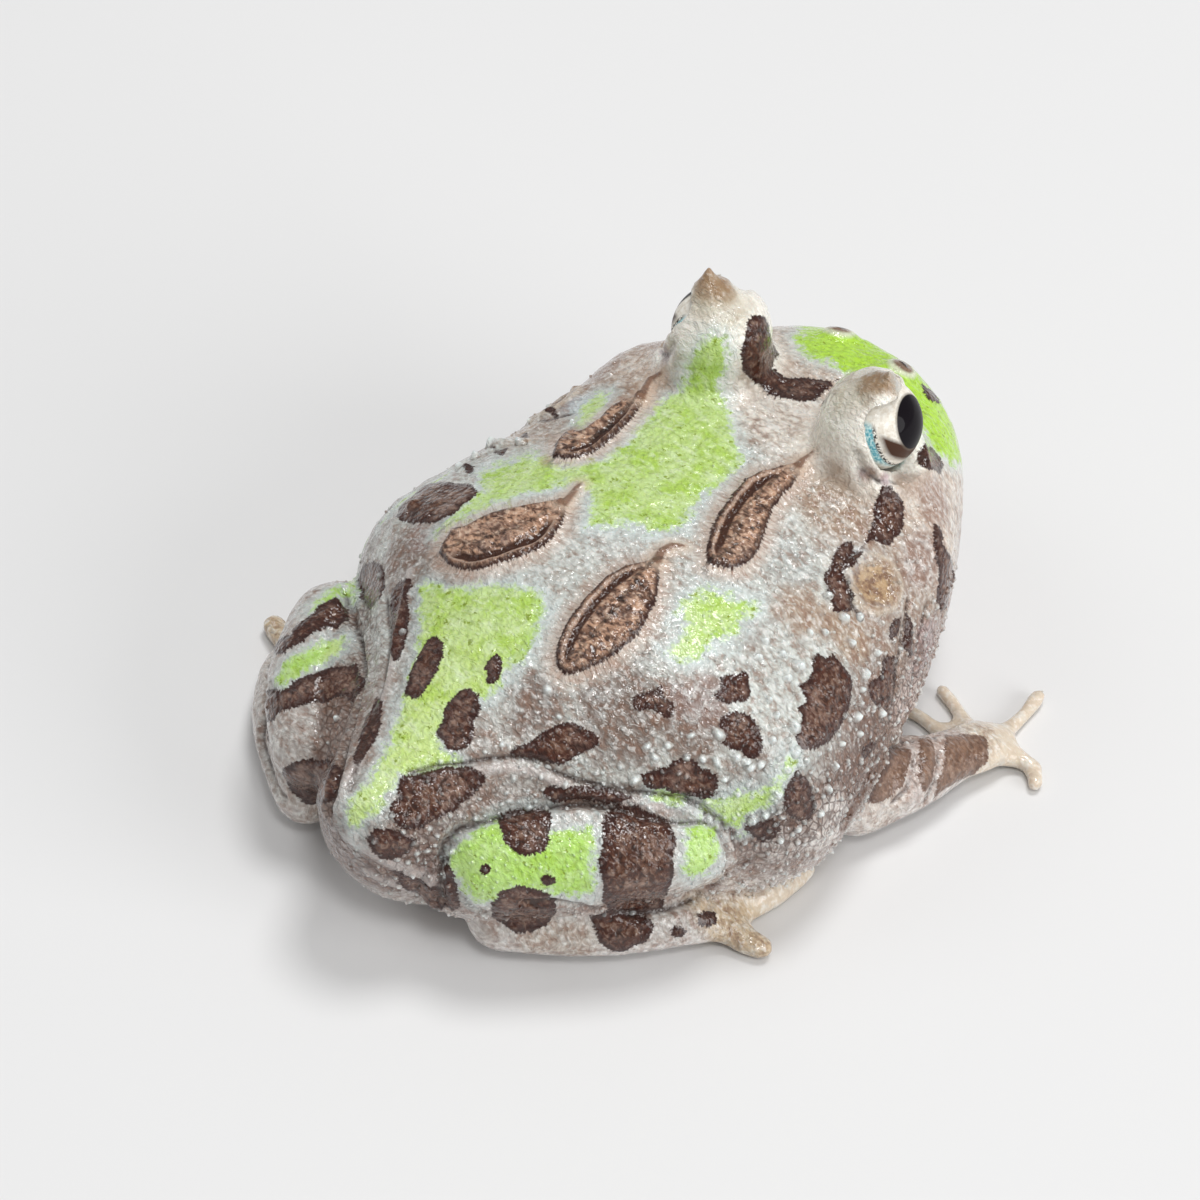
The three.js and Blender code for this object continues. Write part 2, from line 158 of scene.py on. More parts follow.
def value_noise(points, cell, seed):
    """Smooth noise from -1 to 1: random values on a cubic lattice of the given cell, in mm, mixed by
    smoothsteps."""
    scaled = points / cell + 1000.0
    floor = np.floor(scaled).astype(np.int64)
    way = scaled - floor
    way = way * way * (3 - 2 * way)
    total = np.zeros(len(points))
    for corner in np.ndindex(2, 2, 2):
        x, y, z = (floor + corner).T
        h = (x * 73856093) ^ (y * 19349663) ^ (z * 83492791) ^ (seed * 2654435761)
        h = ((h ^ (h >> 13)) * 1274126177) & 0xFFFFFF
        weight = np.prod(np.where(corner, way, 1 - way), axis=1)
        total += weight * (h / 0x7FFFFF - 1.0)
    return total


# The skin: one closed surface over all nodes of flesh

SEAM_SWELL = 0.3  # closes the gaps between the nodes, and is taken back after
SKIN_CELL = 0.4
CAD_MERGE = 1e-4


def node_surface(name):
    """A copy of a CAD node with its loose triangles merged."""
    points, faces = mesh_arrays(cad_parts[name].data)
    keys = np.round(points / CAD_MERGE).astype(np.int64)
    _, first, back = np.unique(keys, axis=0, return_index=True, return_inverse=True)
    return points[first], back.reshape(-1)[faces]


def voxel_skin(surfaces):
    """Swells the surfaces along their normals, joins them by a voxel remesh and gives the outer surface."""
    points, faces, base = [], [], 0
    for own_points, own_faces in surfaces:
        points.append(own_points + SEAM_SWELL * vertex_normals(own_points, own_faces))
        faces.append(own_faces + base)
        base += len(own_points)
    rough = new_piece("rough", np.concatenate(points), np.concatenate(faces).tolist())
    remesh = rough.modifiers.new("remesh", "REMESH")
    remesh.mode = "VOXEL"
    remesh.voxel_size = SKIN_CELL * MM
    evaluated = rough.evaluated_get(bpy.context.evaluated_depsgraph_get())
    mesh = bpy.data.meshes.new_from_object(evaluated)
    result = mesh_arrays(mesh)
    bpy.data.objects.remove(rough)
    bpy.data.meshes.remove(mesh)
    return result


def largest_part(points, faces):
    """Keeps the largest connected surface: each point takes the lowest label that it can reach."""
    label = np.arange(len(points))
    while True:
        lowest = label[faces].min(axis=1)
        reached = label.copy()
        for k in range(faces.shape[1]):
            np.minimum.at(reached, faces[:, k], lowest)
        reached = reached[reached]
        if (reached == label).all():
            break
        label = reached
    main = np.bincount(label).argmax()
    kept = label == main
    renumbered = np.cumsum(kept) - 1
    return points[kept], renumbered[faces[kept[faces[:, 0]]]]


def nearest_node(points, surfaces, chunk=4096):
    """The number of the CAD surface nearest to each point, by squared distances worked out in blocks."""
    samples = np.concatenate([np.concatenate([p, p[f].mean(axis=1)]) for p, f in surfaces])
    samples = samples.astype(np.float32)
    owner = np.concatenate([np.full(len(p) + len(f), i) for i, (p, f) in enumerate(surfaces)])
    lengths = (samples ** 2).sum(axis=1) / 2
    nearest = [
        (lengths - points[start:start + chunk].astype(np.float32) @ samples.T).argmin(axis=1)
        for start in range(0, len(points), chunk)
    ]
    return owner[np.concatenate(nearest)]


class Smoother:
    """Moves points towards the mean of their neighbours along the edges of fixed faces."""

    def __init__(self, faces, count):
        ends = np.concatenate([faces, np.roll(faces, -1, axis=1)], axis=0)
        starts = np.concatenate([np.roll(faces, -1, axis=1), faces], axis=0)
        self.ends = ends.ravel()
        self.starts = starts.ravel()
        self.count = count
        self.degree = np.bincount(self.ends, minlength=count)

    def mean(self, values):
        columns = values.reshape(self.count, -1)
        sums = [np.bincount(self.ends, column[self.starts], self.count) for column in columns.T]
        return (np.stack(sums, axis=1) / self.degree[:, None]).reshape(values.shape)

    def ease(self, values, rounds, strength=0.5):
        for _ in range(rounds):
            values = values + strength * (self.mean(values) - values)
        return values


def ball_distance(points, centre):
    return np.linalg.norm(points - centre, axis=1)


def both_sides(place):
    """A place given for the left side, and its mirror image on the right."""
    return [np.asarray(place) * mirror for mirror in LEFT_AND_RIGHT.values()]


surfaces = [node_surface(name) for name in FLESH]
points, faces = largest_part(*voxel_skin(surfaces))
smoother = Smoother(faces, len(points))
node_of = np.array(FLESH)[nearest_node(points, surfaces)]


def is_node(*starts):
    return np.isin(node_of, [name for name in FLESH if name.startswith(starts)])


CREASED_GROUPS = [
    ("torso", "head", "lower_jaw", "horn"), ("thigh",), ("shank",), ("foot",), ("arm", "hand")]
BORDER_ROUNDS = 8
SKIN_ROUNDS = 26


def group_borders():
    """How near each point lies to the border of two groups of flesh, from 0 inside to 1 on it.
    Each group's share, one inside it and none outside, is smoothed, and the two largest are compared."""
    shares = [smoother.ease(is_node(*group).astype(float), BORDER_ROUNDS) for group in CREASED_GROUPS]
    ordered = np.sort(np.stack(shares), axis=0)
    return 1 - (ordered[-1] - ordered[-2])


def skin_softness():
    """How much each place is smoothed: broad flesh the most, and lids, horns, digits and creases the least."""
    soft = np.where(is_node("torso", "head", "lower_jaw"), 0.62, 0.34)
    soft = np.where(is_node("hand", "foot"), 0.2, soft)
    for centre in both_sides(EYE_CENTRE):
        soft *= 0.12 + 0.88 * smoothstep(5.2, 8.5, ball_distance(points, centre))
    for nostril in both_sides(NOSTRIL):
        soft *= 0.3 + 0.7 * smoothstep(1.5, 3.0, ball_distance(points, nostril))
    return smoother.ease(soft, 12) * (1 - 0.8 * group_borders())


points = smoother.ease(points, SKIN_ROUNDS, skin_softness()[:, None])
normals = vertex_normals(points, faces)
points = points - SEAM_SWELL * normals
normals = vertex_normals(points, faces)
surface = BVHTree.FromPolygons(points.tolist(), faces.tolist())


# Places on the skin, found along the photograph's lines of sight

def sight(u, v):
    """The way from the camera through a pixel of the photograph."""
    x = (u - PHOTO_SIDE / 2) / PHOTO_SIDE * SENSOR / LENS
    y = (PHOTO_SIDE / 2 - v) / PHOTO_SIDE * SENSOR / LENS
    way = VIEW_RIGHT * x + VIEW_UP * y - VIEW_BACK
    return way / np.linalg.norm(way)


def nearest_skin(place):
    """Place and outward direction of the skin nearest to a place."""
    other, outward, _, _ = surface.find_nearest(Vector(place))
    return np.array(other), np.array(outward)


def on_skin(u, v):
    """Place and outward direction of the skin seen at a pixel, or nearest to its line of sight."""
    way = Vector(sight(u, v))
    place, outward, _, _ = surface.ray_cast(Vector(VIEW_FROM), way)
    if place is None:
        return nearest_skin(Vector(VIEW_FROM) + way * VIEW_DISTANCE)
    return np.array(place), np.array(outward)


def mirrored(place):
    """Place and outward direction of the skin on the other side of the body."""
    return nearest_skin(place * LEFT_AND_RIGHT["right"])


FAR = -50.0
REGION_OF = {"arm": 1, "hand": 1, "shank": 2, "foot": 3}  # the other nodes are 0


def region_codes():
    """Groups of nodes that a mark may spread over, the two sides of the limbs apart."""
    codes = np.zeros(len(points), int)
    for start, code in REGION_OF.items():
        for side, shift in (("_left", 10), ("_right", 20)):
            codes[is_node(start + side)] = code + shift
    return codes


region = region_codes()


class Stroke:
    """A mark on the skin as a chain of round dabs, each a place, its outward direction and a radius in mm."""

    def __init__(self, dabs):
        self.places = np.array([place for (place, _), _ in dabs])
        self.outward = np.array([outward for (_, outward), _ in dabs])
        self.radii = np.array([radius for _, radius in dabs], float)

    def mirrored(self):
        return Stroke([(mirrored(place), radius) for place, radius in zip(self.places, self.radii)])

    def measure(self, margin=4.0, anywhere=False):
        """For each skin point the depth inside the chain, the way along its outline and the side.
        Depth is the chain's radius at the nearest place of its axis less the distance to it. The way along the
        outline is the length along the axis, plus the radius times the angle round an end."""
        depth = np.full(len(points), FAR)
        around = np.zeros(len(points))
        side = np.zeros(len(points))
        low = (self.places - self.radii[:, None]).min(axis=0) - margin
        high = (self.places + self.radii[:, None]).max(axis=0) + margin
        near = np.flatnonzero(((points > low) & (points < high)).all(axis=1))
        allowed = {region[nearest_vertex(place)] for place in self.places}
        near = near if anywhere else near[np.isin(region[near], list(allowed))]
        p, n = points[near], normals[near]
        run = 0.0
        chain = list(zip(self.places, self.outward, self.radii))
        for (a, na, ra), (b, nb, rb) in zip(chain, chain[1:] or chain):
            axis = b - a
            length = max(np.linalg.norm(axis), 1e-6)
            t = np.clip((p - a) @ axis / length ** 2, 0, 1)
            centre = a + t[:, None] * axis
            gap = np.linalg.norm(p - centre, axis=1)
            outward = mix(na, nb, t[:, None])
            radius = mix(ra, rb, t)
            own = radius - gap - 2.5 * np.maximum(0, 0.25 - (n * outward).sum(axis=1))
            lead = np.clip(((p - centre) @ axis) / np.maximum(gap * length, 1e-9), -1, 1)
            better = own > depth[near]
            depth[near] = np.where(better, own, depth[near])
            own_around = run + t * length + radius * np.arcsin(lead)
            around[near] = np.where(better, own_around, around[near])
            across = np.sign((np.cross(outward, axis) * (p - centre)).sum(axis=1)) * gap
            side[near] = np.where(better, across, side[near])
            run += length
        return depth, around, side


def nearest_vertex(place):
    """A vertex of the skin's face that lies nearest to a place."""
    _, _, face, _ = surface.find_nearest(Vector(place))
    return faces[face][0]


def photo_stroke(dabs):
    return Stroke([(on_skin(u, v), radius) for u, v, radius in dabs])


def solid_stroke(dabs):
    """A stroke given by places in the frog's own millimetres, for sides that the photograph doesn't show."""
    return Stroke([(nearest_skin(np.array([x, y, z], float)), radius) for x, y, z, radius in dabs])


# Marks. A leaf is a raised brown shield on the back and a blotch a flat one. They and the green patches are
# given by the outline that the photograph shows, as pixels across and down.
LEAVES = {
    "left_shoulder": [
        (553, 459), (555, 446), (562, 437), (572, 433), (582, 434), (592, 427), (607, 413), (622, 404),
        (637, 398), (648, 392), (644, 405), (634, 419), (620, 433), (606, 446), (592, 455), (575, 460)],
    "left_back": [
        (439, 554), (445, 541), (452, 531), (470, 526), (486, 517), (500, 512), (520, 508), (545, 504),
        (564, 502), (566, 512), (562, 526), (553, 540), (540, 550), (520, 558), (500, 565), (482, 570),
        (465, 571), (449, 565)],
    "right_back": [
        (658, 560), (640, 563), (625, 567), (608, 576), (594, 590), (580, 606), (568, 622), (560, 638),
        (555, 655), (557, 668), (566, 676), (580, 673), (598, 665), (615, 656), (632, 642), (645, 625),
        (655, 605), (659, 582)],
    "right_shoulder": [
        (706, 566), (706, 548), (710, 530), (720, 512), (732, 494), (746, 481), (762, 472), (780, 467),
        (799, 465), (800, 474), (794, 485), (782, 496), (773, 508), (768, 522), (764, 536), (757, 552),
        (748, 564), (733, 570), (720, 568)],
}
BLOTCHES = {
    "left_flank_high": [
        (396, 520), (400, 508), (412, 496), (424, 486), (440, 482), (460, 482), (475, 487), (479, 493),
        (466, 503), (455, 513), (440, 521), (420, 524)],
    "between_eyes": [
        (741, 340), (744, 325), (752, 317), (763, 318), (769, 331), (773, 343), (779, 354), (777, 367),
        (784, 376), (797, 378), (810, 376), (824, 381), (840, 376), (833, 386), (822, 394), (815, 400),
        (798, 403), (782, 400), (768, 394), (754, 382), (742, 370), (739, 355)],
    "snout": [(922, 385), (932, 391), (941, 399), (944, 404), (936, 404), (927, 400)],
    "cheek": [
        (914, 462), (917, 451), (925, 444), (932, 448), (939, 456), (945, 466), (941, 474), (930, 470),
        (920, 467)],
    "under_eye": [
        (882, 486), (891, 486), (899, 494), (904, 508), (903, 524), (899, 536), (890, 544), (880, 545),
        (876, 538), (868, 545), (860, 556), (852, 566), (846, 572), (848, 562), (860, 548), (870, 530),
        (873, 514), (876, 500)],
    "before_ear": [
        (829, 562), (835, 551), (843, 544), (853, 543), (852, 553), (846, 562), (845, 574), (850, 586),
        (852, 600), (855, 611), (846, 612), (841, 618), (834, 610), (831, 599), (828, 588), (826, 578)],
    "jaw": [
        (931, 521), (938, 529), (943, 545), (951, 560), (955, 576), (953, 592), (946, 606), (940, 611),
        (935, 602), (939, 582), (936, 560), (933, 540)],
    "jaw_back": [
        (880, 657), (891, 654), (896, 668), (897, 686), (893, 700), (888, 713), (878, 709), (869, 698),
        (867, 684), (875, 678), (882, 673)],
    "jaw_upper": [(888, 640), (892, 624), (901, 613), (899, 628), (894, 641)],
    "jaw_rear": [(906, 612), (911, 622), (912, 640), (913, 655), (907, 656), (904, 642), (906, 628)],
    "shoulder_bar": [
        (811, 656), (818, 651), (825, 660), (834, 655), (840, 661), (848, 671), (852, 685), (851, 700),
        (846, 714), (838, 728), (828, 742), (815, 751), (802, 749), (795, 739), (799, 726), (802, 715),
        (796, 708), (805, 702), (803, 694), (797, 684), (807, 680), (812, 670)],
    "flank_high": [
        (722, 679), (730, 674), (737, 677), (744, 669), (750, 678), (752, 692), (748, 702), (738, 702),
        (728, 706), (716, 701), (713, 694), (721, 690)],
    "flank_high_low": [
        (721, 718), (735, 712), (748, 715), (757, 722), (762, 736), (761, 752), (757, 762), (748, 758),
        (742, 751), (732, 752), (721, 745), (718, 730)],
    "flank_mid": [
        (640, 776), (652, 771), (664, 767), (676, 760), (688, 757), (695, 762), (700, 769), (709, 768),
        (717, 776), (718, 786), (713, 796), (704, 802), (692, 797), (678, 794), (664, 790), (648, 786)],
    "flank_small": [
        (634, 700), (642, 693), (652, 690), (662, 687), (664, 698), (674, 702), (673, 713), (666, 720),
        (657, 712), (648, 707), (640, 712), (634, 708)],
    "belly_side": [
        (790, 782), (798, 771), (806, 778), (812, 790), (814, 806), (810, 820), (799, 821), (789, 816),
        (781, 806), (784, 792)],
    "belly_side_low": [
        (742, 826), (751, 821), (763, 823), (774, 817), (781, 825), (774, 836), (763, 841), (751, 838)],
    "belly_side_front": [
        (857, 758), (863, 747), (871, 741), (878, 739), (875, 750), (867, 758), (860, 762)],
    "rump_bar": [
        (510, 753), (518, 745), (532, 739), (544, 728), (558, 724), (572, 722), (585, 727), (598, 734),
        (601, 743), (590, 752), (578, 758), (564, 766), (548, 762), (532, 757), (518, 757)],
    "rear_left": [
        (404, 697), (407, 684), (413, 668), (419, 652), (425, 640), (435, 635), (444, 644), (443, 658),
        (437, 671), (431, 684), (424, 697), (413, 701)],
    "rear_dot": [
        (483, 668), (489, 660), (497, 656), (501, 664), (499, 676), (494, 683), (487, 683), (488, 673)],
    "rear_mid": [
        (437, 732), (441, 715), (448, 702), (459, 693), (470, 689), (481, 695), (482, 707), (477, 719),
        (475, 734), (470, 746), (460, 752), (447, 749)],
    "rump": [
        (398, 797), (396, 784), (405, 775), (425, 772), (445, 768), (464, 765), (480, 769), (486, 779),
        (478, 792), (465, 802), (450, 812), (435, 822), (420, 829), (404, 831), (393, 822), (390, 808)],
    "rump_low": [
        (366, 838), (376, 829), (390, 829), (404, 834), (416, 840), (411, 850), (398, 857), (381, 856)],
    "left_flank_a": [
        (358, 578), (364, 566), (375, 560), (384, 570), (386, 586), (380, 601), (370, 609), (361, 598)],
    "left_flank_b": [
        (394, 590), (400, 580), (412, 582), (411, 600), (410, 616), (407, 632), (404, 647), (398, 662),
        (393, 650), (390, 630), (392, 609)],
    "left_knob_a": [(488, 448), (494, 436), (504, 437), (512, 443), (503, 455), (493, 453)],
    "left_knob_b": [(459, 470), (466, 464), (474, 467), (470, 475)],
    "left_knob_c": [(513, 433), (517, 424), (527, 424), (525, 433)],
    "left_knob_d": [(546, 411), (549, 402), (560, 401), (558, 410)],
    "groin": [
        (377, 696), (384, 704), (381, 725), (373, 745), (362, 763), (354, 765), (358, 746), (366, 720)],
    "vent_side": [
        (388, 868), (402, 869), (420, 878), (438, 888), (452, 902), (440, 908), (420, 896), (400, 884)],
}
LIMB_BLOTCHES = {
    "shank_top": [
        (496, 820), (506, 812), (520, 808), (535, 807), (549, 810), (552, 824), (550, 840), (544, 852),
        (530, 859), (516, 854), (505, 842), (499, 831)],
    "shank_bar": [
        (601, 838), (603, 820), (612, 808), (630, 805), (648, 811), (668, 820), (674, 840), (673, 864),
        (669, 886), (664, 906), (645, 914), (625, 914), (607, 909), (600, 890), (598, 862)],
    "fold_strip": [
        (536, 792), (548, 786), (566, 784), (585, 786), (610, 790), (632, 797), (620, 803), (595, 803),
        (570, 800), (550, 799)],
    "shank_dot": [(481, 868), (486, 865), (490, 869), (487, 875), (482, 874)],
    "shank_speck": [(541, 878), (548, 874), (555, 878), (553, 885), (545, 886)],
    "shank_low": [
        (490, 902), (500, 890), (515, 886), (530, 886), (546, 890), (558, 900), (557, 914), (548, 926),
        (530, 934), (510, 932), (496, 922)],
    "shank_heel": [
        (444, 868), (450, 864), (455, 876), (458, 892), (460, 906), (453, 912), (447, 900), (443, 884)],
    "tarsus_bar": [
        (591, 917), (606, 913), (628, 914), (648, 915), (655, 925), (645, 939), (630, 948), (612, 952),
        (600, 944), (593, 930)],
    "tarsus_speck_a": [(694, 914), (703, 910), (714, 913), (717, 922), (708, 929), (698, 925)],
    "tarsus_speck_b": [(668, 930), (678, 926), (686, 930), (682, 937), (672, 937)],
    "left_knee_bar": [
        (257, 668), (274, 648), (290, 634), (309, 617), (335, 600), (348, 606), (350, 621), (325, 631),
        (305, 642), (284, 656), (266, 674)],
    "left_shank_bar": [
        (252, 726), (266, 706), (282, 692), (302, 679), (324, 668), (357, 664), (362, 681), (358, 700),
        (342, 697), (316, 701), (292, 710), (272, 724), (254, 736)],
    "left_shank_low": [
        (285, 766), (300, 760), (323, 760), (343, 764), (342, 784), (331, 801), (312, 804), (295, 794),
        (285, 779)],
    "arm_bar_a": [
        (867, 800), (880, 774), (893, 748), (905, 745), (908, 765), (902, 786), (890, 798), (877, 803)],
    "arm_bar_b": [(918, 742), (930, 738), (935, 758), (931, 782), (921, 796), (916, 778)],
    "arm_bar_c": [
        (943, 734), (962, 734), (985, 738), (988, 758), (972, 774), (950, 794), (936, 802), (940, 776),
        (944, 752)],
}
GREENS = {
    "back_band": [
        (697, 342), (711, 333), (723, 336), (728, 350), (726, 365), (723, 382), (727, 402), (731, 420),
        (738, 440), (741, 456), (738, 470), (727, 481), (711, 488), (702, 496), (698, 508), (690, 521),
        (676, 528), (655, 531), (625, 527), (603, 524), (588, 530), (590, 508), (588, 492), (575, 482),
        (540, 491), (512, 500), (488, 508), (470, 516), (450, 527), (438, 538), (441, 524), (456, 510),
        (472, 500), (482, 488), (479, 474), (500, 462), (522, 454), (546, 452), (556, 465), (578, 465),
        (602, 459), (620, 448), (636, 434), (648, 418), (658, 402), (673, 391), (684, 380), (688, 362)],
    "side_patch": [
        (682, 603), (699, 594), (712, 588), (726, 594), (745, 597), (757, 600), (755, 611), (742, 619),
        (738, 631), (730, 641), (715, 641), (705, 651), (696, 662), (685, 662), (671, 655), (668, 647),
        (680, 641), (686, 629), (679, 618)],
    "rear_patch": [
        (424, 581), (450, 586), (480, 584), (512, 586), (535, 590), (547, 608), (541, 630), (530, 648),
        (514, 666), (500, 690), (484, 698), (462, 702), (448, 716), (440, 735), (446, 752), (458, 762),
        (445, 769), (420, 772), (400, 776), (391, 792), (375, 812), (354, 827), (344, 821), (350, 803),
        (368, 780), (384, 752), (395, 726), (401, 700), (408, 676), (417, 655), (421, 630), (417, 604)],
    "left_edge": [
        (374, 522), (388, 504), (410, 484), (434, 475), (450, 472), (440, 480), (420, 485), (400, 502),
        (384, 520)],
    "left_edge_far": [(575, 425), (586, 406), (600, 391), (610, 392), (604, 405), (592, 420), (578, 432)],
    "flank_streak": [
        (700, 803), (710, 799), (724, 799), (745, 790), (760, 793), (775, 778), (781, 764), (785, 754),
        (793, 752), (796, 763), (788, 777), (780, 791), (768, 805), (752, 813), (742, 820), (739, 832),
        (731, 830), (720, 818), (708, 810)],
    "flank_fleck": [(653, 793), (668, 789), (681, 794), (690, 800), (684, 806), (668, 804), (655, 802)],
}
SNOUT_GREENS = {
    "snout_top": [
        (798, 334), (806, 320), (822, 304), (850, 295), (880, 305), (905, 335), (938, 372), (980, 430),
        (980, 478), (962, 464), (948, 459), (934, 450), (924, 438), (918, 420), (905, 398), (893, 378),
        (878, 366), (866, 361), (845, 361), (826, 361), (812, 354), (803, 346)],
}
LIMB_GREENS = {
    "shank": [
        (451, 855), (458, 838), (474, 828), (498, 820), (520, 812), (549, 811), (552, 836), (566, 832),
        (594, 826), (596, 852), (594, 891), (568, 897), (545, 892), (520, 889), (498, 899), (476, 900),
        (462, 890), (455, 874)],
    "shank_knee": [
        (687, 826), (700, 822), (716, 827), (716, 848), (709, 873), (698, 878), (688, 874), (685, 852)],
    "left_shank": [
        (276, 684), (282, 668), (300, 653), (323, 642), (343, 636), (346, 649), (328, 661), (306, 670),
        (288, 684)],
    "left_thigh": [(306, 606), (322, 595), (340, 587), (344, 592), (328, 602), (312, 612)],
}
# Each leaf ends in a small pale ridge: pixels across and down, and the radius in mm.
LEAF_TAILS = {
    "left_shoulder": [(641, 402, 0.35), (646, 388, 0.25), (651, 380, 0.22), (662, 373, 0.12)],
    "left_back": [(562, 507, 0.35), (571, 497, 0.22), (580, 484, 0.1)],
    "right_back": [(656, 563, 0.35), (662, 552, 0.25), (672, 546, 0.2), (683, 547, 0.08)],
    "right_shoulder": [(796, 469, 0.35), (803, 461, 0.22), (813, 452, 0.08)],
}
# The snout's green goes on where the photograph doesn't show it: places and radii in the frog's own mm.
SNOUT_FRONT = [(0, -29.5, 24.2, 2.6), (0, -31.5, 22.8, 4.0), (0, -33.8, 19.5, 3.4), (5, -33, 18.6, 1.6)]


LOWERED = 4.5
STEEP = ("between_eyes", "back_band", "snout_top", "snout")
MOUND_RADIUS = 6.2


class Patch:
    """A mark on the skin as a closed outline of places, laid out on the plane that fits them best,
    or on one square to the line of sight where the skin under it is steep."""

    def __init__(self, places, outward, steep=False):
        self.places, self.outward = np.array(places), np.array(outward)
        self.centre = self.places.mean(axis=0)
        _, _, axes = np.linalg.svd(self.places - self.centre)
        if steep:
            axes = np.array([VIEW_RIGHT, VIEW_UP, VIEW_BACK])
        self.long, self.short = axes[0], axes[1]
        self.front = axes[2] * np.sign(axes[2] @ self.outward.mean(axis=0))
        self.steep = steep
        self.least_facing = -0.15 if steep else -0.1
        if self.short[0] * self.centre[0] > 0:
            self.short = -self.short  # counts up towards the body's middle
        self.outline = (self.places - self.centre) @ np.stack([self.long, self.short], axis=1)

    def mirrored(self):
        """The mark on the other side, a little lower, since no frog's sides are alike."""
        return Patch(*zip(*(mirrored(place - np.array([0, 0, LOWERED])) for place in self.places)))

    def measure(self, margin=3.0):
        """For each skin point the depth inside the outline, negative outside it, the way along the outline of
        its nearest place, and the distance from the middle towards the body's middle."""
        depth, around, side = (np.full(len(points), value) for value in (FAR, 0.0, 0.0))
        away = points - self.centre
        flat_all = away @ np.stack([self.long, self.short], axis=1)
        reach = np.abs(self.outline).max(axis=0) + margin
        tall = np.abs((self.places - self.centre) @ self.front).max() + (10.0 if self.steep else 2.0)
        allowed = {region[nearest_vertex(place)] for place in self.places}
        near = np.flatnonzero(
            (np.abs(flat_all) < reach).all(axis=1) & (np.abs(away @ self.front) < tall + margin)
            & (normals @ self.front > self.least_facing) & np.isin(region, list(allowed)))
        flat = flat_all[near]
        nearest = np.full(len(near), -FAR)
        way = np.zeros(len(near))
        inside = np.zeros(len(near), bool)
        run = 0.0
        for a, b in zip(self.outline, np.roll(self.outline, -1, axis=0)):
            edge = b - a
            length = np.linalg.norm(edge)
            t = np.clip((flat - a) @ edge / length ** 2, 0, 1)
            gap = np.linalg.norm(flat - a - t[:, None] * edge, axis=1)
            closer = gap < nearest
            nearest = np.where(closer, gap, nearest)
            way = np.where(closer, run + t * length, way)
            spans = (a[1] > flat[:, 1]) != (b[1] > flat[:, 1])
            crossing = a[0] + (flat[:, 1] - a[1]) / (edge[1] if edge[1] else 1e-9) * edge[0]
            inside ^= spans & (flat[:, 0] < crossing)
            run += length
        depth[near] = np.where(inside, nearest, -nearest)
        around[near] = way
        side[near] = flat[:, 1]
        return depth, around, side


def photo_patches(outlines):
    """Patches from outlines in pixels. The steep ones lie flat across the line of sight, at their skin's
    distance."""
    patches = []
    for name, outline in outlines.items():
        places, outward = zip(*(on_skin(u, v) for u, v in outline))
        if name in STEEP:
            depth = np.median([(VIEW_FROM - place) @ VIEW_BACK for place in places])
            ways = [sight(u, v) for u, v in outline]
            places = [VIEW_FROM - way * depth / (way @ VIEW_BACK) for way in ways]
        patches.append(Patch(places, outward, name in STEEP))
    return patches


is_not_wrist = 1.0 - smoother.ease(is_node("hand").astype(float), 10)


MARK_SHIFT = 31.7  # sets the hatching of one mark apart from that of the next


def deepest(marks):
    """The union of marks: at each skin point, the measures of the one that it lies deepest in."""
    depth, around, side = (np.full(len(points), value) for value in (FAR, 0.0, 0.0))
    for number, mark in enumerate(marks):
        own, own_around, own_side = mark.measure()
        better = own > depth
        depth = np.where(better, own, depth)
        around = np.where(better, own_around + MARK_SHIFT * number, around)
        side = np.where(better, own_side, side)
    return depth, around, side


ALL_BLOTCHES = BLOTCHES | LIMB_BLOTCHES
MIRRORED_BLOTCHES = (
    "cheek", "under_eye", "before_ear", "jaw", "jaw_back", "shoulder_bar", "flank_high", "flank_high_low",
    "flank_mid", "flank_small", "belly_side", "belly_side_low", "arm_bar_a", "arm_bar_b", "arm_bar_c")
leaf_marks = photo_patches(LEAVES)
tail_marks = [photo_stroke(dabs) for dabs in LEAF_TAILS.values()]
blotch_marks = photo_patches(ALL_BLOTCHES)
copied_marks = photo_patches({name: ALL_BLOTCHES[name] for name in MIRRORED_BLOTCHES})
hidden_marks = [mark.mirrored() for mark in copied_marks]
green_marks = photo_patches(GREENS | LIMB_GREENS)
green_marks += [mark.mirrored() for mark in photo_patches({"flank_streak": GREENS["flank_streak"]})]
snout_marks = photo_patches(SNOUT_GREENS) + [solid_stroke(SNOUT_FRONT)]

leaf_depth, leaf_around, leaf_side = deepest(leaf_marks)
tail_depth, _, _ = deepest(tail_marks)
blotch_depth, blotch_around, _ = deepest(blotch_marks)
hidden_depth, hidden_around, _ = deepest(hidden_marks)
out_of_view = -0.12 - normals @ VIEW_BACK
hidden_depth = np.minimum(hidden_depth, 8 * out_of_view)
blotch_around = np.where(hidden_depth > blotch_depth, hidden_around, blotch_around)
blotch_depth = np.maximum(blotch_depth, hidden_depth)
green_depth, _, _ = deepest(green_marks)
snout_depth, _, _ = deepest(snout_marks)
eye_gap = np.min([ball_distance(points, centre) for centre in both_sides(EYE_CENTRE)], axis=0)
green_depth = np.maximum(green_depth, np.minimum(snout_depth, eye_gap - MOUND_RADIUS))

wobble = 0.22 * value_noise(points, 1.3, 3) + 0.16 * value_noise(points, 0.7, 4)
blotch_depth = blotch_depth + wobble
leaf_depth = leaf_depth + 0.4 * wobble
green_depth = green_depth + 0.35 * value_noise(points, 1.6, 5) + 0.25 * value_noise(points, 0.8, 6)
brown_depth = np.maximum(leaf_depth, blotch_depth)
brown_around = np.where(leaf_depth > blotch_depth, leaf_around, blotch_around)


# Relief of the skin, in mm along its normals

MOUTH = {"front_y": -34.5, "back_y": -7.0, "front_level": 12.6, "fall": 4.6}


